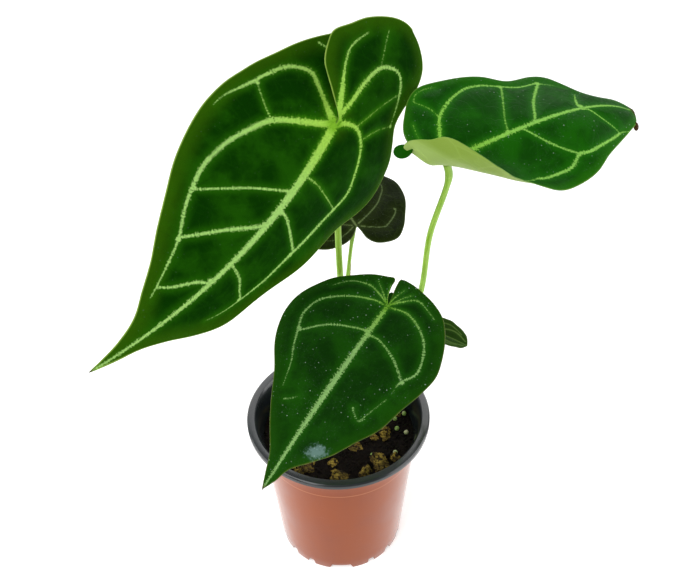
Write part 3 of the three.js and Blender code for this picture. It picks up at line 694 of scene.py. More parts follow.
class Blade:
    """Collects the corners, faces and surface values of one blade."""

    def __init__(self, leaf):
        self.leaf = leaf
        self.places = []
        self.values = {"vein": [], "along": [], "breadth": [], "margin": [], "flat": []}
        self.faces = []
        self.kinds = []
        self.count = 0

    def add_corners(self, places, *values):
        first = self.count
        self.places.append(places)
        for kept, added in zip(self.values.values(), values):
            kept.append(added)
        self.count += len(places)
        return first + np.arange(len(places))

    def add_quads(self, a, b, c, d, kind, flip):
        quads = np.stack([a.ravel(), b.ravel(), c.ravel(), d.ravel()], 1)
        if flip:
            quads = quads[:, ::-1]
        for quad in quads.tolist():
            ring = [q for i, q in enumerate(quad) if q != quad[i - 1]]
            if len(ring) > 2:
                self.faces.append(ring)
                self.kinds.append(kind)


def surface_normals(leaf, half, sign, s, t):
    here = blade_place(leaf, half, sign, s, t)
    ahead = blade_place(leaf, half, sign, s + 0.5, t) - here
    aside = blade_place(leaf, half, sign, s, t + 0.5) - here
    return here, unit(sign * np.cross(ahead, aside))


def blade_half(blade, half, other, sign, shared):
    leaf = blade.leaf
    grid, rows, outline = flat_rows(leaf, half, min(BLADE_STEP, leaf["length"] / 60))
    shape = grid.shape[:2]
    s, t = grid[..., 0], grid[..., 1]
    w = np.linspace(0, 1, shape[1])[None, :]
    here, normal = surface_normals(leaf, half, sign, s, t)
    wave = leaf["wave"] * w * w * np.sin(2 * np.pi * s / (WAVE_LENGTH * leaf["length"]) + sign)
    here = here + normal * wave[..., None]
    flat = grid.reshape(-1, 2)
    beyond, along, breadth, sunk = vein_fields(leaf, half, flat)
    margin = distance_to_line(flat, outline)[0].reshape(shape)
    beyond, along, breadth, sunk = (v.reshape(shape) for v in (beyond, along, breadth, sunk))

    # Near the midrib both halves are set off in its own direction.
    on_midrib = np.arange(shape[0]) <= rows
    across = surface_normals(leaf, other, -sign, s[:, 0], np.zeros(shape[0]))[1]
    middle = unit(normal[:, 0] + across)
    share = np.where(on_midrib[:, None], np.clip(1 - np.abs(t) / MIDRIB_BLEND, 0, 1), 0)
    share = share[..., None]
    direction = unit(normal * (1 - share) + middle[:, None] * share)

    calm = np.clip(margin / FLAT_EDGE, 0, 1)
    rib = np.exp(-(t / RIB_SPREAD) ** 2) * (s > 0)
    puff = leaf["puff"] * (1 - np.exp(-(np.maximum(beyond, 0) / PUFF_REACH) ** 2)) * calm
    lift = puff - leaf["groove"] * sunk * calm - 0.5 * leaf["puff"] * calm
    upper = here + direction * lift[..., None]
    thick = MARGIN_THICKNESS + (BLADE_THICKNESS - MARGIN_THICKNESS) * np.clip(margin / THIN_EDGE, 0, 1)
    thick = thick + calm * (VEIN_RIB * sunk * (1 - rib) + rib * (keel_depth(leaf, s) - 0.2))
    lower = upper - direction * thick[..., None]
    outward = np.zeros_like(upper)
    outward[:, 1:] = upper[:, 1:] - upper[:, :-1]
    outward[:, 0] = upper[:, 0] - upper[:, 1]
    rim = (upper + lower) / 2 + unit(outward) * (RIM_BULGE * MARGIN_THICKNESS)

    turn = blade_frame(leaf)

    def corners(points, chosen):
        values = [v[chosen].ravel() for v in (beyond, along, breadth, margin)]
        flats = np.stack([s[chosen].ravel(), (sign * t)[chosen].ravel()], 1)
        placed = points[chosen].reshape(-1, 3) @ turn.T + np.array(leaf["base"])
        return blade.add_corners(placed, *values, flats)

    keep = np.ones(shape, bool)
    keep[0, 1:] = False
    keep[-1, 1:] = False
    if shared:
        keep[:rows + 1, 0] = False
    ids = {}
    for level, points in (("upper", upper), ("lower", lower)):
        table = np.full(shape, -1)
        table[keep] = corners(points, keep)
        if shared:
            table[:rows + 1, 0] = shared[level]
        table[0, 1:] = table[0, 0]
        table[-1, 1:] = table[-1, 0]
        ids[level] = table
    edge_keep = np.zeros(shape, bool)
    edge_keep[1:-1, -1] = True
    edge_keep[rows + 1:-1, 0] = True
    rim_ids = np.full(shape, -1)
    rim_ids[edge_keep] = corners(rim, edge_keep)
    for row, column in ((0, -1), (-1, -1), (rows, 0), (-1, 0)):
        rim_ids[row, column] = ids["lower"][row, column]
    up, low = ids["upper"], ids["lower"]
    flip = sign < 0
    blade.add_quads(up[:-1, :-1], up[:-1, 1:], up[1:, 1:], up[1:, :-1], 0, flip)
    blade.add_quads(low[:-1, :-1], low[1:, :-1], low[1:, 1:], low[:-1, 1:], 1, flip)
    for top, bottom in ((up, rim_ids), (rim_ids, low)):
        blade.add_quads(top[:-1, -1], bottom[:-1, -1], bottom[1:, -1], top[1:, -1], 2, flip)
        blade.add_quads(top[rows + 1:, 0], bottom[rows + 1:, 0], bottom[rows:-1, 0],
                        top[rows:-1, 0], 2, flip)
    return {level: table[:rows + 1, 0] for level, table in ids.items()}


def make_blade(leaf, materials):
    blade = Blade(leaf)
    shared = blade_half(blade, leaf["left"], leaf["right"], 1, None)
    blade_half(blade, leaf["right"], leaf["left"], -1, shared)
    piece = new_piece(f"leaf_{leaf['name']}", np.concatenate(blade.places), blade.faces)
    mesh = piece.data
    mesh.polygons.foreach_set("material_index", blade.kinds)
    mesh.polygons.foreach_set("use_smooth", [True] * len(mesh.polygons))
    for name in ("vein", "along", "breadth", "margin"):
        keep_values(mesh, name, np.concatenate(blade.values[name]))
    flat = np.concatenate(blade.values["flat"])
    keep_flat(mesh, np.concatenate([flat, np.zeros((len(flat), 1))], 1))
    mesh.validate()
    for material in materials:
        mesh.materials.append(material)
    extras = [make_flap(leaf, flap, materials[0]) for flap in leaf.get("flaps", [])]
    if extras:
        piece = join([piece, *extras], piece.name)
    return finish_piece(piece, [f"blade_{leaf['name']}"], leaf["slot"])


# Stalks

def centripetal_line(points, count):
    """A smooth space line through points, with knots by the root of their distance."""
    p = np.array(points, float)
    p = np.concatenate([[2 * p[0] - p[1]], p, [2 * p[-1] - p[-2]]])
    found = []
    for i in range(1, len(p) - 2):
        a, b, c, d = p[i - 1:i + 3]
        t0, t1, t2 = (np.linalg.norm(q - r) ** 0.5 for r, q in ((a, b), (b, c), (c, d)))
        m1 = ((b - a) / t0 - (c - a) / (t0 + t1) + (c - b) / t1) * t1
        m2 = ((c - b) / t1 - (d - b) / (t1 + t2) + (d - c) / t2) * t1
        f = np.linspace(0, 1, 60, endpoint=False)[:, None]
        found.append(b + m1 * f + (-3 * b + 3 * c - 2 * m1 - m2) * f * f
                     + (2 * b - 2 * c + m1 + m2) * f ** 3)
    line = np.concatenate([*found, p[-2:-1]])
    return even_points(line, count)


def stalk_line(leaf, count):
    turn = blade_frame(leaf)
    normal, forward = turn[:, 2], turn[:, 1]
    base = np.array(leaf["base"]) + forward * JOINT_SETBACK
    top = base - normal * (JOINT_DEPTH + float(keel_depth(leaf, JOINT_SETBACK)))
    neck = base - normal * (KNEE_LENGTH * leaf["length"] / LARGEST_LENGTH + KNEE_DROP)
    angle = math.radians(leaf["stalk"]["angle"])
    x, y = np.add(CROWN_CENTRE, round_place(STALK_RING, angle))
    lowest = [(x, y, CROWN_TOP + rise) for rise in (-SOCKET_DEPTH, -1, 7)]
    return centripetal_line([*lowest, *leaf["stalk"]["path"], neck, top], count)


def stalk_radius(leaf, u, length):
    socket, lower, middle, upper, joint = leaf["stalk"]["radii"]
    radius = np.where(u < 0.5, lower + (middle - lower) * 2 * u,
                      middle + (upper - middle) * (2 * u - 1))
    swell = 1 - np.clip((u * length - SOCKET_DEPTH) / STALK_TAPER, 0, 1)
    radius = radius + (socket - radius) * swell
    knee = np.clip(2 * (1 - (1 - u) * length / STALK_KNEE), 0, 1)
    knee = knee * knee * (3 - 2 * knee)
    return radius + (joint - radius) * knee


def make_stalk(leaf, material):
    sides, count = STALK_SIDES, STALK_STEPS
    line = stalk_line(leaf, count)
    u = np.linspace(0, 1, count + 1)
    length = lengths_along(line)[-1]
    radius = stalk_radius(leaf, u, length)
    tangent = unit(np.gradient(line, axis=0))
    side = np.cross(tangent[0], (0, -1, 0))
    angles = np.linspace(0, 2 * np.pi, sides, endpoint=False)
    # A shallow groove runs up the side that faces the crown.
    section = 1 - 0.10 * np.exp(-((angles - np.pi) / 0.35) ** 2) + 0.02 * np.cos(3 * angles)
    rings = []
    for k in range(count + 1):
        side = side - tangent[k] * (side @ tangent[k])
        side /= np.linalg.norm(side)
        up = np.cross(tangent[k], side)
        ring = np.outer(np.cos(angles) * section, side) + np.outer(np.sin(angles) * section, up)
        rings.append(line[k] + ring * radius[k])
    places = np.concatenate([*rings, line[:1], line[-1:]])
    ids = np.arange((count + 1) * sides).reshape(count + 1, sides)
    around = np.roll(ids, -1, axis=1)
    quads = np.stack([ids[:-1], around[:-1], around[1:], ids[1:]], -1).reshape(-1, 4).tolist()
    foot, head = len(places) - 2, len(places) - 1
    caps = [[foot, b, a] for a, b in zip(ids[0].tolist(), around[0].tolist())]
    caps += [[head, a, b] for a, b in zip(ids[-1].tolist(), around[-1].tolist())]
    piece = new_piece(f"petiole_{leaf['name']}", places, quads + caps)
    piece.data.polygons.foreach_set("use_smooth", [True] * len(piece.data.polygons))
    keep_values(piece.data, "rise", np.concatenate([np.repeat(u * length, sides), [0, length]]))
    keep_values(piece.data, "turn", np.concatenate([np.tile(angles, count + 1), [0, 0]]))
    return finish_piece(piece, [f"stalk_{leaf['name']}"], "stalk_skin", material)


def make_stipule(leaf, material):
    """The torn edge of a papery sheath along the right of a young stalk."""
    steps = 70
    line = stalk_line(leaf, 200)[95:95 + steps + 1]
    places = []
    for k, centre in enumerate(line):
        f = k / steps
        torn = 0.5 + 0.5 * noise.noise(Vector((f * 9, 3, 0)))
        torn += 0.35 * noise.noise(Vector((f * 31, 5, 0)))
        width = (0.5 + 1.9 * torn) * math.sin(math.pi * f) ** 0.4
        wave = 0.5 * math.sin(f * 17)
        for j in range(5):
            places.append(centre + (0.6 + width * j / 4, wave * j / 4 - 0.3, 0))
    piece = new_piece("young_stipule", places, grid_faces(steps, 4))
    apply_modifier(piece, "SOLIDIFY", thickness=0.35 * MM, offset=0)
    smooth(piece, 60)
    return finish_piece(piece, [], "stalk_skin", material)


# Pot

def wall_radius(z):
    return FOOT_RADIUS + (SHOULDER_RADIUS - FOOT_RADIUS) * z / SHOULDER_HEIGHT - POT_WALL


def notch_cutter(angle, widths):
    bottom, top = widths
    cutter = shaped(bpy.ops.mesh.primitive_cube_add,
                    (10 * MM, bottom * MM, 2 * NOTCH_HEIGHT * MM),
                    size=1, location=(FOOT_RADIUS * MM, 0, 0))
    for corner in cutter.data.vertices:
        if corner.co.z > 0:
            corner.co.y *= top / bottom
    cutter.data.transform(Matrix.Rotation(math.radians(angle - 90), 4, "Z"))
    return cutter


def hole_cutter(angle):
    place = (*round_place(HOLE_RING * MM, angle), FLOOR_TOP * MM)
    return shaped(bpy.ops.mesh.primitive_cylinder_add, (1, 1, 1), vertices=32,
                  radius=HOLE_RADIUS * MM, depth=6 * MM, location=place)


def make_pot(outside, inside):
    lip_inside = RIM_RADIUS - RIM_LIP
    rim_floor = POT_HEIGHT - RIM_DEPTH
    profile = [
        (0, 0), (STUD_RADIUS, 0), (STUD_RADIUS, FLOOR_UNDERSIDE),
        (wall_radius(FLOOR_UNDERSIDE), FLOOR_UNDERSIDE), (wall_radius(0), 0), (FOOT_RADIUS, 0),
    ]
    for k in range(1, WALL_STEPS + 1):
        f = k / WALL_STEPS
        profile.append((FOOT_RADIUS + (SHOULDER_RADIUS - FOOT_RADIUS) * f, SHOULDER_HEIGHT * f))
    profile += [
        (SHOULDER_RADIUS + 1.4, SHOULDER_HEIGHT + 1.2), (SHOULDER_RADIUS + 2, rim_floor),
        (RIM_RADIUS - 0.7, rim_floor), (RIM_RADIUS, rim_floor + 0.8),
        (RIM_RADIUS, POT_HEIGHT - 0.9), (RIM_RADIUS - 0.9, POT_HEIGHT),
        (lip_inside + 0.8, POT_HEIGHT), (lip_inside, POT_HEIGHT - 0.8),
        (SHOULDER_RADIUS + 0.6, rim_floor - 1),
    ]
    for k in range(WALL_STEPS + 1):
        z = SHOULDER_HEIGHT + (FLOOR_TOP - SHOULDER_HEIGHT) * k / WALL_STEPS
        profile.append((wall_radius(z), z))
    profile.append((0, FLOOR_TOP))
    pot = spun("nursery_pot", profile, POT_STEPS)
    cutters = [notch_cutter(angle, WIDE_NOTCH) for angle in (0, 180)]
    for k in range(LUGS_PER_SIDE - 1):
        angle = FIRST_LUG_ANGLE + LUG_PITCH * (k + 0.5)
        cutters += [notch_cutter(angle, SMALL_NOTCH), notch_cutter(-angle, SMALL_NOTCH)]
    cutters += [hole_cutter(2 * math.pi * k / HOLE_COUNT) for k in range(HOLE_COUNT)]
    cutter = join(cutters, "pot_cutter")
    apply_modifier(pot, "BOOLEAN", object=cutter, operation="DIFFERENCE", solver="EXACT")
    bpy.data.objects.remove(cutter)
    apply_modifier(pot, "BEVEL", width=0.35 * MM, segments=3, limit_method="ANGLE",
                   angle_limit=math.radians(28))
    finish_piece(pot, ["pot"], "pot_plastic", outside, inside)
    for face in pot.data.polygons:
        centre = Vector((face.center.x, face.center.y, 0))
        inward = face.normal.dot(centre.normalized()) < -0.2 if centre.length > 1e-6 else False
        z = face.center.z / MM
        floor_top = face.normal.z > 0.5 and z < FLOOR_TOP + 1
        if z > rim_floor + 0.35 or floor_top or (inward and z > FLOOR_TOP):
            face.material_index = 1
    smooth(pot, 35)
    return pot


# Soil, bark and beads

# Chips and beads that show in front of the crown: place, then length, width and height.
# The rest are scattered by the same rule as in the solids.
SEEN_CHIPS = [
    (29, -32, 15, 9, 7), (31, -5, 10, 7, 5), (11, -17, 8, 6, 4), (1, -39, 12, 7, 4),
    (24, -8, 7, 4, 3.5), (-4, -28, 6, 5, 3), (39, -26, 7, 5, 4), (17, -36, 9, 6, 3.5),
]
SEEN_BEADS = [(39, 0.6), (45, -3), (45, 14), (38, 9), (22, -22), (37, -20)]
CHIP_COUNT = 26
BEAD_COUNT = 5
CHIP_REACH = 49.4
CRUMB_COUNT = 1500
CRUMB_REACH = 49
DICE_FACTOR = 16807
DICE_LIMIT = 2147483647


def dice(seed):
    """Numbers between 0 and 1 in a fixed order."""
    state = seed
    while True:
        state = state * DICE_FACTOR % DICE_LIMIT
        yield state / DICE_LIMIT


def soil_pieces():
    """Every chip and bead: whether it is a chip, its place, size and three turns."""
    roll = dice(4711)
    pieces = []

    def add_piece(is_chip, x, y, size):
        share = min(1, (CHIP_REACH - math.hypot(*size) / 2) / math.hypot(x, y))
        turns = [next(roll) * 0.7, next(roll) * 0.7, next(roll) * math.pi]
        pieces.append((is_chip, x * share, y * share, size, turns))

    for x, y, *size in SEEN_CHIPS:
        add_piece(True, x, y, size)
    for x, y in SEEN_BEADS:
        add_piece(False, x, y, [3.4, 3.2, 3])
    for number in range(CHIP_COUNT + BEAD_COUNT):
        is_chip = number < CHIP_COUNT
        radius = 19 + 29 * math.sqrt(next(roll))
        angle = math.radians(20 + 230 * next(roll))
        if is_chip:
            size = [4 + 6 * next(roll), 3 + 3.5 * next(roll), 2 + 2 * next(roll)]
        else:
            size = [3.2 + next(roll), 3.2 + next(roll), 3 + next(roll)]
        add_piece(is_chip, *round_place(radius, angle), size)
    return pieces


def soil_height(x, y):
    f = math.hypot(x, y) / wall_radius(SOIL_LEVEL)
    crumbs = noise.fractal(Vector((x, y, 4)) * 0.35, 0.8, 2.1, 4) * 1.1
    lumps = noise.noise(Vector((x, y, 9)) * 0.09) * 1.2
    return SOIL_LEVEL + SOIL_DOME * (1 - f * f) - 0.7 + (crumbs + lumps) * (1 - f ** 6)


def make_soil(material):
    edge = wall_radius(SOIL_LEVEL) - 0.15
    rings, steps = SOIL_RINGS, SOIL_STEPS
    angles = [2 * math.pi * k / steps for k in range(steps)]
    places = [(0, 0, soil_height(0, 0))]
    for i in range(1, rings + 1):
        for angle in angles:
            x, y = round_place(edge * i / rings, angle)
            places.append((x, y, soil_height(x, y)))
    low = FLOOR_TOP + 0.3
    places += [(*round_place(wall_radius(low) - 0.3, angle), low) for angle in angles]
    places.append((0, 0, low))
    faces = []
    for i in range(rings + 1):
        for k in range(steps):
            a, b = 1 + i * steps + k, 1 + i * steps + (k + 1) % steps
            if i == 0:
                faces.append((0, a, b))
            if i < rings:
                faces.append((a, a + steps, b + steps, b))
            else:
                faces.append((a, len(places) - 1, b))
    soil = new_piece("soil_bed", places, faces)
    edit_all(soil)
    face_outward()
    smooth(soil, 60)
    return finish_piece(soil, ["soil"], "bark_soil", material)


def roughened(piece, amount, scale, seed):
    for corner in piece.data.vertices:
        where = corner.co * scale / MM + Vector((seed * 7.1, seed * 3.3, seed))
        corner.co += noise.noise_vector(where) * amount * MM


def placed_piece(piece, x, y, turns):
    """Turns a piece and sets it half sunk in the soil, as in the solids."""
    place = Matrix.Translation((x * MM, y * MM, (SOIL_LEVEL + 0.6) * MM))
    for turn, axis in zip(turns, "XYZ"):
        place = place @ Matrix.Rotation(turn, 4, axis)
    piece.data.transform(place)
    return piece


def make_chip(x, y, size, turns, seed):
    bpy.ops.mesh.primitive_cube_add(size=1)
    chip = bpy.context.object
    apply_modifier(chip, "BEVEL", width=0.16, segments=1)
    apply_modifier(chip, "SUBSURF", subdivision_type="SIMPLE", levels=3, render_levels=3)
    chip.scale = [v * MM for v in size]
    settle(chip)
    roughened(chip, 0.17 * size[1], 2.6 / size[0], seed)
    roughened(chip, 0.11 * size[1], 0.8, seed + 50)
    return placed_piece(chip, x, y, turns)


def make_bead(x, y, size, turns, seed):
    bead = shaped(bpy.ops.mesh.primitive_ico_sphere_add, size, subdivisions=3, radius=0.5 * MM)
    roughened(bead, 0.12, 0.8, seed)
    return placed_piece(bead, x, y, turns)


def make_chips_and_beads(bark, pale):
    chips, beads = [], []
    for seed, (is_chip, *rest) in enumerate(soil_pieces()):
        if is_chip:
            chips.append(make_chip(*rest, seed))
        else:
            beads.append(make_bead(*rest, seed))
    for pieces, name, material in ((chips, "bark_chips", bark), (beads, "round_beads", pale)):
        made = join(pieces, name)
        smooth(made, 50)
        finish_piece(made, [], "bark_soil", material)


def make_crumbs(material):
    """Loose grains of soil and short fibres over the bed, in one mesh."""
    draw = random.Random(12)
    bpy.ops.mesh.primitive_ico_sphere_add(subdivisions=1, radius=1)
    ball = bpy.context.object
    shape = np.array([v.co for v in ball.data.vertices])
    rings = [tuple(f.vertices) for f in ball.data.polygons]
    bpy.data.objects.remove(ball)
    places, faces = [], []
    for _ in range(CRUMB_COUNT):
        x, y = round_place(CRUMB_REACH * math.sqrt(draw.random()), draw.uniform(0, math.tau))
        if math.dist((x, y), CROWN_CENTRE) <= CROWN_RADIUS:
            continue
        size = draw.choice((0.35, 0.45, 0.6, 0.8, 1.1)) * draw.uniform(0.8, 1.2)
        stretch = 3.2 if draw.random() < 0.12 else 1
        scale = np.array([size * stretch, size, size * 0.7])
        jitter = np.array([[draw.uniform(0.75, 1.2)] for _ in shape])
        turn = np.array(Matrix.Rotation(draw.uniform(0, 6.2), 3, "Z")
                        @ Matrix.Rotation(draw.uniform(-0.5, 0.5), 3, "X"))
        start = len(places)
        centre = np.array([x, y, soil_height(x, y) + 0.2 * size])
        places.extend((shape * jitter * scale) @ turn.T + centre)
        faces.extend([tuple(start + v for v in ring) for ring in rings])
    piece = new_piece("soil_crumbs", places, faces)
    smooth(piece, 70)
    return finish_piece(piece, [], "bark_soil", material)


# Crown and its dry sheaths

# A sheath's name, its angle round the crown, its height and its spread
SHEATHS = [("dry_sheath_1", 298, 24, 0.30), ("dry_sheath_2", 96, 21, 0.34),
           ("dry_sheath_3", 200, 18, 0.28)]


def make_crown(material):
    profile = [(0, CROWN_FOOT), (CROWN_RADIUS - 2, CROWN_FOOT), (CROWN_RADIUS, CROWN_FOOT + 2)]
    for k in range(9):
        z = CROWN_FOOT + 2 + (CROWN_TOP - 6 - CROWN_FOOT) * (k + 1) / 9
        profile.append((CROWN_RADIUS + (0.25 if k % 2 else -0.25), z))
    profile += [(CROWN_RADIUS - 1.2, CROWN_TOP - 1.6), (CROWN_RADIUS - 3.5, CROWN_TOP - 0.3),
                (8, CROWN_TOP), (4, CROWN_TOP - 0.4), (0, CROWN_TOP - 0.2)]
    crown = spun("crown_stem", profile, 72)
    crown.data.transform(Matrix.Translation((CROWN_CENTRE[0] * MM, CROWN_CENTRE[1] * MM, 0)))
    roughened(crown, 0.35, 0.35, 3)
    smooth(crown, 60)
    return finish_piece(crown, ["crown"], "crown_tissue", material)


def make_sheath(name, angle, height, width, material):
    """A thin dry husk that stands beside the stalks, curved round the crown and torn at its tip."""
    across, rows = 12, 22
    places = []
    for i in range(rows + 1):
        v = i / rows
        for j in range(across + 1):
            u = 2 * j / across - 1
            spread = width * (1 - v ** 2.2) + 0.06
            bend = CROWN_RADIUS - 2.4 - 1.5 * v + 2.2 * v * v
            ragged = 0.06 * noise.noise(Vector((u * 3, angle, 1)))
            place = round_place(bend - 1.2 * (1 - u * u) * v, math.radians(angle) + u * spread)
            z = CROWN_TOP - 7 + height * (v + ragged * v) - 2 * u * u * v
            places.append((*np.add(CROWN_CENTRE, place), z))
    husk = new_piece(name, places, grid_faces(rows, across))
    apply_modifier(husk, "SOLIDIFY", thickness=0.5 * MM, offset=0)
    apply_modifier(husk, "SUBSURF", levels=1, render_levels=1)
    smooth(husk, 60)
    return finish_piece(husk, [], "crown_tissue", material)


# Shader building

# The faint cross lines' distance, and the size and turn of the pale smear on the front leaf
RUNG_GAP = 8
PATCH_SIZE = (7, 4.4, 1)
PATCH_TURN = math.radians(124)


def srgb(code):
    """A colour such as 8a6a2a as the linear values that a shader takes."""
    values = [int(code[k:k + 2], 16) / 255 for k in (0, 2, 4)]
    return (*(v / 12.92 if v <= 0.04045 else ((v + 0.055) / 1.055) ** 2.4 for v in values), 1)


def feed(made, sockets):
    """Gives a node's inputs, by name or number, values, colour codes or other nodes' outputs."""
    for key, value in sockets.items():
        if isinstance(value, bpy.types.NodeSocket):
            made.id_data.links.new(value, made.inputs[key])
        else:
            made.inputs[key].default_value = srgb(value) if isinstance(value, str) else value
    return made


def node(tree, kind, sockets=None, **settings):
    made = tree.nodes.new(kind)
    for key, value in settings.items():
        setattr(made, key, value)
    return feed(made, sockets or {})


def attribute(tree, name, output="Fac"):
    return node(tree, "ShaderNodeAttribute", attribute_name=name).outputs[output]


def object_place(tree):
    return node(tree, "ShaderNodeTexCoord").outputs["Object"]


def maths(operation, *inputs):
    """Works on sockets and numbers, at least one of them a socket."""
    tree = next(v.id_data for v in inputs if isinstance(v, bpy.types.NodeSocket))
    return node(tree, "ShaderNodeMath", dict(enumerate(inputs)), operation=operation).outputs[0]


def times(a, b):
    return maths("MULTIPLY", a, b)


def ramp(value, low, high, to_low=0.0, to_high=1.0):
    sockets = {"Value": value, "From Min": low, "From Max": high, "To Min": to_low, "To Max": to_high}
    made = node(value.id_data, "ShaderNodeMapRange", sockets, interpolation_type="SMOOTHSTEP")
    return made.outputs["Result"]


def mixed(share, a, b):
    sockets = {"Factor": share, 6: a, 7: b}
    return node(share.id_data, "ShaderNodeMix", sockets, data_type="RGBA").outputs[2]


def grain(vector, scale, detail=3.0, roughness=0.55):
    sockets = {"Vector": vector, "Scale": scale, "Detail": detail, "Roughness": roughness}
    return node(vector.id_data, "ShaderNodeTexNoise", sockets).outputs["Fac"]


def cells(vector, scale, feature):
    sockets = {"Vector": vector, "Scale": scale}
    return node(vector.id_data, "ShaderNodeTexVoronoi", sockets, feature=feature).outputs


def stretched(vector, scale):
    sockets = {"Vector": vector, "Scale": scale}
    return node(vector.id_data, "ShaderNodeMapping", sockets).outputs["Vector"]


def lane(x, y):
    return node(x.id_data, "ShaderNodeCombineXYZ", {"X": x, "Y": y}).outputs[0]


def part_of(vector, axis):
    return node(vector.id_data, "ShaderNodeSeparateXYZ", {0: vector}).outputs[axis]


def length_of(vector):
    made = node(vector.id_data, "ShaderNodeVectorMath", {0: vector}, operation="LENGTH")
    return made.outputs["Value"]


def bump(height, distance):
    sockets = {"Height": height, "Distance": distance * MM}
    return node(height.id_data, "ShaderNodeBump", sockets).outputs["Normal"]


def new_material(name):
    material = bpy.data.materials.new(name)
    material.use_nodes = True
    return material, material.node_tree


def shade(material, sockets):
    feed(material.node_tree.nodes["Principled BSDF"], sockets)
    return material


def new_group(name, inputs, outputs):
    """A group of nodes. Its sockets are numbers, but for an input named Vector."""
    group = bpy.data.node_groups.new(name, "ShaderNodeTree")
    for way, sockets in (("INPUT", inputs), ("OUTPUT", outputs)):
        for socket in sockets:
            kind = "NodeSocketVector" if socket == "Vector" else "NodeSocketFloat"
            group.interface.new_socket(socket, in_out=way, socket_type=kind)
    return group, node(group, "NodeGroupInput").outputs, node(group, "NodeGroupOutput")


def use_group(tree, group, sockets):
    return node(tree, "ShaderNodeGroup", sockets, node_tree=group).outputs


def vein_group():
    """Ragged pale bands along the veins, and the fine net and cross lines between them."""
    outputs = ("Band", "Ridge Highlight", "Near", "Net", "Mottle And Sheen")
    group, given, end = new_group("leaf_veins", ("Ragged", "Net Scale"), outputs)
    flat = attribute(group, "flat", "Vector")
    vein, along = attribute(group, "vein"), attribute(group, "along")
    hairs = maths("SUBTRACT", grain(lane(along, times(vein, 0.35)), 1.1, 3.0, 0.7), 0.5)
    specks = maths("SUBTRACT", grain(flat, 1.3, 3.0, 0.65), 0.5)
    torn = maths("MULTIPLY_ADD", hairs, 5.0, times(specks, 3.5))
    torn = times(torn, ramp(attribute(group, "breadth"), 0.0, 1.2, 0.4, 1.1))
    distance = maths("MULTIPLY_ADD", torn, given["Ragged"], vein)
    net = cells(flat, given["Net Scale"], "DISTANCE_TO_EDGE")["Distance"]
    sway = times(grain(flat, 0.09, 2.0), 1.8)
    rung = maths("PINGPONG", maths("MULTIPLY_ADD", along, 1 / RUNG_GAP, sway), 0.5)
    rungs = times(ramp(rung, 0.07, 0.0), ramp(vein, 18.0, 2.0))
    # Besides the pale bands, two masks mark the lighter green close to the veins: painted highlight of
    # the ridges there.
    feed(end, {
        "Band": ramp(distance, 0.4, -0.3), "Ridge Highlight": ramp(distance, 2.6, 0.0),
        # On the next line, the second mask is large random patches: partly the leaf's own uneven tone and
        # partly painted velvet sheen.
        "Near": ramp(vein, 5.0, 0.0), "Mottle And Sheen": grain(flat, 0.04, 4.0, 0.6),
        "Net": maths("MAXIMUM", ramp(net, 0.06, 0.0, 0.0, 0.5), rungs),
    })
    return group


def dust_group():
    """Pale specks and a faint haze in patches, as of dust and dried drops."""
    group, given, end = new_group("dust_specks", ("Vector", "Amount", "Scale"), ["Dust"])
    place = given["Vector"]
    dots = cells(place, given["Scale"], "F1")
    chance = node(group, "ShaderNodeSeparateColor", {0: dots["Color"]}).outputs[0]
    specks = times(ramp(dots["Distance"], 0.22, 0.05), ramp(chance, 0.72, 0.8))
    patches = ramp(grain(place, 0.05, 3.0), 0.42, 0.62)
    haze = ramp(grain(place, 0.9, 5.0, 0.75), 0.55, 0.8, 0.0, 0.2)
    feed(end, {"Dust": times(times(maths("ADD", specks, haze), patches), given["Amount"])})
    return group


VEINS = vein_group()
DUST = dust_group()


def dust_on(vector, amount, scale):
    sockets = {"Vector": vector, "Amount": amount, "Scale": scale}
    return use_group(vector.id_data, DUST, sockets)["Dust"]


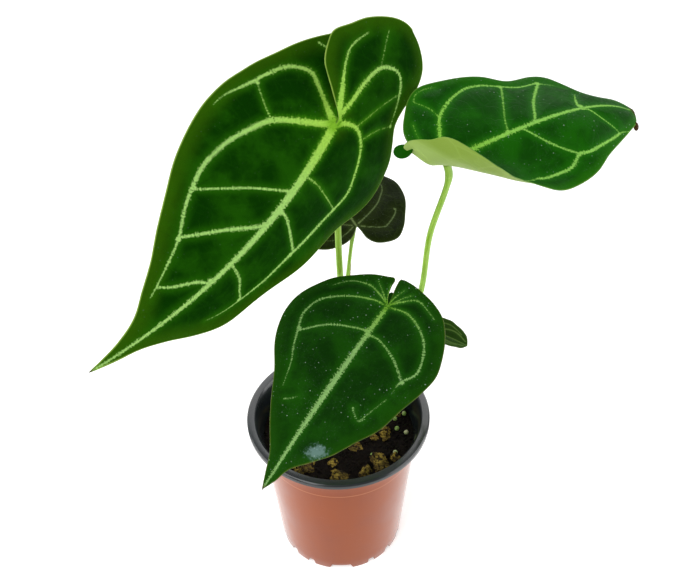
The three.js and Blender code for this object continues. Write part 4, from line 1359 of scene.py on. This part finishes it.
def leaf_upper(name, look, length):
    material, tree = new_material(f"{name}_upper")
    marks = use_group(tree, VEINS, {"Ragged": look["ragged"], "Net Scale": look["net"]})
    flat, margin = attribute(tree, "flat", "Vector"), attribute(tree, "margin")
    # Lighter green close to the veins, here and again a few steps below: painted highlight on the ridges
    # beside them.
    colour = mixed(times(marks["Near"], 0.7), look["deep"], look["mid"])
    # Large random lighter patches: partly the leaf's own uneven tone, partly painted velvet sheen.
    colour = mixed(ramp(marks["Mottle And Sheen"], 0.42, 0.68, 0.0, 0.65), colour, look["mid"])
    colour = mixed(times(ramp(margin, look["border"], 0.5), 0.85), colour, look["margin"])
    colour = mixed(ramp(margin, 0.8, 0.1, 0.0, look["edge_share"]), colour, look["edge"])
    colour = mixed(times(marks["Net"], look["net_share"]), colour, look["fine"])
    from_sinus = length_of(flat)
    glow = ramp(from_sinus, look["glow_reach"], 2.0)
    # Lighter green just beside the pale bands, stronger towards the sinus: painted highlight on the
    # ridges there.
    ridge_highlight = times(marks["Ridge Highlight"], ramp(glow, 0.0, 1.0, 0.12, 0.8))
    colour = mixed(ridge_highlight, colour, look["ridge_highlight"])
    band = mixed(glow, look["vein"], look["glow"])
    band = mixed(ramp(from_sinus, 7.0, 2.0, 0.0, 0.8), band, look["heart"])
    share = look["band_share"]
    faint = ramp(grain(flat, 0.9, 4.0, 0.7), 0.3, 0.62, share - 0.3, share)
    colour = mixed(times(marks["Band"], faint), colour, band)
    brown = ramp(part_of(flat, "X"), length - 4.5, length - 0.5, 0.0, look["tip"])
    colour = mixed(brown, colour, "3a200c")
    sockets = {"Vector": flat, "Location": look["patch"], "Rotation": (0, 0, PATCH_TURN),
               "Scale": PATCH_SIZE}
    patch = node(tree, "ShaderNodeMapping", sockets, vector_type="TEXTURE").outputs["Vector"]
    crumbly = maths("SUBTRACT", grain(flat, 0.45, 5.0, 0.72), 0.5)
    gap = maths("MULTIPLY_ADD", crumbly, 2.4, length_of(patch))
    dust = dust_on(flat, look["dust"], 0.55)
    colour = mixed(dust, colour, "9fb3a4")
    colour = mixed(times(ramp(gap, 1.1, 0.35), look["patch_share"]), colour, "7c9a98")
    least = look["rough"] - 0.07
    rough = ramp(grain(flat, 0.35, 4.0), 0.3, 0.7, least, least + 0.16)
    pile = times(grain(flat, 3.2, 2.0, 0.6), look["pile"])
    height = maths("MULTIPLY_ADD", marks["Net"], -0.35, pile)
    return shade(material, {"Base Color": colour, "Normal": bump(height, 0.35),
                            "Roughness": maths("MULTIPLY_ADD", dust, 0.3, rough),
                            "Specular IOR Level": look["specular"]})


def leaf_under(name, look):
    material, tree = new_material(f"{name}_under")
    marks = use_group(tree, VEINS, {"Ragged": 0.3, "Net Scale": look["net"]})
    flat = attribute(tree, "flat", "Vector")
    aside = maths("ABSOLUTE", part_of(flat, "Y"))
    # Paler near the fold line: painted light shining through the thin leaf there. The random patches
    # mixed in are partly the underside's own tone and partly painted sheen.
    lit_near_fold = ramp(aside, look["fold_line"] + 5, look["fold_line"] - 3)
    pale = maths("SUBTRACT", maths("MULTIPLY_ADD", lit_near_fold, 0.8, marks["Mottle And Sheen"]), 0.3)
    colour = mixed(pale, look["under"], look["under_pale_and_lit"])
    colour = mixed(times(marks["Net"], 0.35), colour, look["under_vein"])
    colour = mixed(times(marks["Band"], 0.8), colour, look["under_vein"])
    height = maths("ADD", marks["Net"], grain(flat, 2.5))
    return shade(material, {"Base Color": colour, "Normal": bump(height, 0.09),
                            "Roughness": 0.5, "Specular IOR Level": 0.3})


def leaf_margin(name, look):
    material, tree = new_material(f"{name}_margin")
    tone = ramp(grain(attribute(tree, "flat", "Vector"), 0.15, 3.0), 0.35, 0.65)
    return shade(material, {"Base Color": mixed(tone, look["edge"], look["margin"]),
                            "Roughness": 0.5, "Specular IOR Level": 0.3})


# In each look below, the colour just beside the veins is a painted highlight of the ridges there.
VELVET = {
    "deep": "062c00", "mid": "1a4e03", "ridge_highlight": "306a08", "margin": "294f03", "edge": "86a444",
    "edge_share": 0.85, "border": 12.0, "fine": "1c5208", "vein": "98c56a", "glow": "98c74a",
    "heart": "6aa11a", "glow_reach": 60.0, "band_share": 0.97, "ragged": 0.9, "net": 0.075,
    "net_share": 0.16, "dust": 0.08, "patch": (0, 0, 0), "patch_share": 0.0, "rough": 0.62,
    "pile": 0.5, "specular": 0.008, "under": "6f9a44", "under_pale_and_lit": "86ad58", "under_vein": "a9c67c",
    "fold_line": 0.0, "tip": 0.9,
}
FRONT = {
    **VELVET, "deep": "082b02", "mid": "154704", "ridge_highlight": "22560e", "margin": "143e03",
    "edge": "5c6b1e", "edge_share": 0.35, "border": 9.0, "fine": "1a4a0c", "vein": "7fa862",
    "glow": "7aa848", "heart": "5f9420", "glow_reach": 40.0, "ragged": 1.05, "dust": 1.0,
    "patch": (95.7, 14.9, 0), "patch_share": 0.45, "rough": 0.52, "specular": 0.018,
}
GLOSSY = {
    **VELVET, "deep": "0a3d01", "mid": "175a04", "ridge_highlight": "2a6a10", "margin": "1f5c06",
    "edge": "6f9438", "edge_share": 0.4, "border": 7.0, "fine": "1c5c10", "vein": "86c054",
    "glow": "84c040", "glow_reach": 60.0, "ragged": 0.9, "net_share": 0.2, "dust": 0.9, "rough": 0.42,
    "specular": 0.03, "pile": 0.3, "fold_line": 20.0, "under": "728d28", "under_pale_and_lit": "8aa352",
    "under_vein": "93b04c",
}
BRONZE = {
    **VELVET, "deep": "0f1902", "mid": "1e2907", "ridge_highlight": "2c3a14", "margin": "1b2605",
    "edge": "46552a", "border": 5.0, "fine": "2c3a14", "vein": "66784c", "glow": "6f804e",
    "heart": "6f804e", "glow_reach": 10.0, "band_share": 0.85, "ragged": 0.45, "net": 0.16,
    "net_share": 0.4, "rough": 0.45, "specular": 0.03, "dust": 0.15, "pile": 0.4, "under": "5b5f2c",
    "under_pale_and_lit": "6c6e38", "under_vein": "94965a",
}
OLIVE = {
    **VELVET, "deep": "142a03", "mid": "26440c", "ridge_highlight": "33521a", "margin": "2a460e",
    "edge": "4a6224", "border": 2.0, "fine": "2f4f10", "vein": "5f7c3a", "glow": "5f7c3a",
    "heart": "5f7c3a", "tip": 0.0, "glow_reach": 6.0, "band_share": 0.8, "ragged": 0.2, "net": 0.3,
    "rough": 0.45, "specular": 0.06, "dust": 0.1, "pile": 0.3, "under": "6f8a3c",
    "under_pale_and_lit": "7f9a4a", "under_vein": "a8be78",
}
LOOKS = {"large": VELVET, "right": GLOSSY, "front": FRONT, "young": BRONZE, "small": OLIVE}


def stalk_material():
    material, tree = new_material("stalk_green")
    rise = attribute(tree, "rise")
    streak = grain(lane(times(rise, 0.02), attribute(tree, "turn")), 3.2, 4.0, 0.7)
    fleck = grain(object_place(tree), 700.0, 3.0, 0.7)
    colour = mixed(ramp(streak, 0.35, 0.68), "719c1c", "93b646")
    colour = mixed(ramp(fleck, 0.6, 0.75, 0.0, 0.35), colour, "c3d98a")
    colour = mixed(times(ramp(rise, 34.0, 4.0), 0.6), colour, "6b7a1c")
    return shade(material, {
        "Base Color": colour, "Normal": bump(streak, 0.12),
        "Roughness": ramp(streak, 0.3, 0.7, 0.36, 0.5), "Specular IOR Level": 0.4,
        "Subsurface Weight": 0.15, "Subsurface Scale": 0.002, "Subsurface Radius": (0.6, 1.0, 0.2),
    })


def plastic_material(name, base, pale, rough, coat):
    """Moulded plastic with faint flow lines, scuffs and dust, and one thin pale line round it that is a
    painted highlight.
    """
    material, tree = new_material(name)
    place = object_place(tree)
    flow = grain(stretched(place, (160, 160, 9)), 1.0, 3.0)
    blotch = grain(place, 28.0, 4.0, 0.6)
    scuff = grain(stretched(place, (60, 60, 700)), 1.0, 5.0, 0.75)
    worn = times(ramp(scuff, 0.6, 0.76), ramp(blotch, 0.45, 0.62))
    from_highlight_line = maths("ABSOLUTE", maths("SUBTRACT", part_of(place, "Z"), HIGHLIGHT_LINE_HEIGHT * MM))
    colour = mixed(ramp(blotch, 0.3, 0.7), base, pale)
    colour = mixed(ramp(flow, 0.35, 0.7, 0.0, 0.3), colour, pale)
    colour = mixed(times(worn, 0.15), colour, "b09a8c")
    colour = mixed(times(dust_on(place, 0.25, 420.0), 0.3), colour, "b9aca0")
    # A thin pale line round the wall at this height: painted highlight
    colour = mixed(ramp(from_highlight_line, 0.0006, 0.0002, 0.0, 0.5), colour, "b5744e")
    orange_peel = grain(place, 900.0, 2.0)
    facing = node(tree, "ShaderNodeLayerWeight", {"Blend": 0.5}).outputs["Facing"]
    return shade(material, {
        "Base Color": colour, "Normal": bump(maths("ADD", times(orange_peel, 0.4), flow), 0.04),
        "Roughness": ramp(blotch, 0.3, 0.7, rough, rough + 0.12), "Specular IOR Level": 0.2,
        "Coat Weight": ramp(facing, 0.45, 0.95, coat, 1.0), "Coat Roughness": 0.16,
    })


# The natural surfaces other than leaves and stalks: a base colour, and the layers laid over it
# in turn. A layer has its noise's scale (three numbers where it is stretched), detail and
# roughness, the ramp that makes a share of that noise, and its colour. Then follow which
# layer's noise is raised and how far, the surface's roughness and its specular level.
LAYERED = {
    "dark_soil": ("050201", [((420, 6, 0.75), (0.35, 0.7), "140a05"),
                             ((90, 4), (0.55, 0.75, 0, 0.6), "1f1309")], (0, 0.8), 0.9, 0.15),
    "golden_bark": ("40300a", [(((300, 900, 900), 5, 0.7), (0.38, 0.62), "a48a3c"),
                               ((380, 4, 0.6), (0.5, 0.58), "1c1104"),
                               ((60, 2), (0.42, 0.6, 0.7, 0), "1d120a")], (0, 0.6), 0.85, 0.2),
    "pale_beads": ("7d9c4a", [((60, 1), (0.42, 0.58), "b9b294"),
                              ((900, 4, 0.7), (0.52, 0.7), "4a4526")], (1, 0.15), 0.6, 0.5),
    "crown_olive": ("5d6a22", [((160, 5, 0.7), (0.4, 0.62), "5a4020"),
                               (((40, 40, 900),), (0.5, 0.66, 0, 0.7), "3a2a14")], (0, 0.5), 0.75, 0.5),
    "dry_husk": ("6d4a26", [(((900, 900, 40), 4, 0.7), (0.35, 0.65), "b08d5a"),
                            ((120,), (0.5, 0.7, 0, 0.6), "7a7a30")], (0, 0.25), 0.65, 0.5),
}


def layered_material(name):
    colour, layers, (raised, distance), rough, specular = LAYERED[name]
    material, tree = new_material(name)
    place = object_place(tree)
    noises = []
    for (scale, *texture), limits, code in layers:
        is_stretched = isinstance(scale, tuple)
        where, scale = (stretched(place, scale), 1) if is_stretched else (place, scale)
        noises.append(grain(where, scale, *texture))
        colour = mixed(ramp(noises[-1], *limits), colour, code)
    return shade(material, {"Base Color": colour, "Normal": bump(noises[raised], distance),
                            "Roughness": rough, "Specular IOR Level": specular})


# The whole plant

set_camera()
set_studio()
add_floor()
make_pot(plastic_material("terracotta_plastic", "823b15", "8a421a", 0.36, 0.05),
         plastic_material("dark_plastic", "0d1215", "151c1f", 0.26, 0.6))
earth = layered_material("dark_soil")
make_soil(earth)
make_crumbs(earth)
make_chips_and_beads(layered_material("golden_bark"), layered_material("pale_beads"))
make_crown(layered_material("crown_olive"))
husk = layered_material("dry_husk")
for name, angle, height, width in SHEATHS:
    make_sheath(name, angle, height, width, husk)
green = stalk_material()
young = LEAVES[3]
make_stipule(young, husk)
for leaf in LEAVES:
    look = LOOKS[leaf["name"]]
    make_stalk(leaf, green)
    name = f"leaf_{leaf['name']}"
    upper = leaf_upper(name, look, leaf["length"])
    make_blade(leaf, [upper, leaf_under(name, look), leaf_margin(name, look)])

deselect_all()
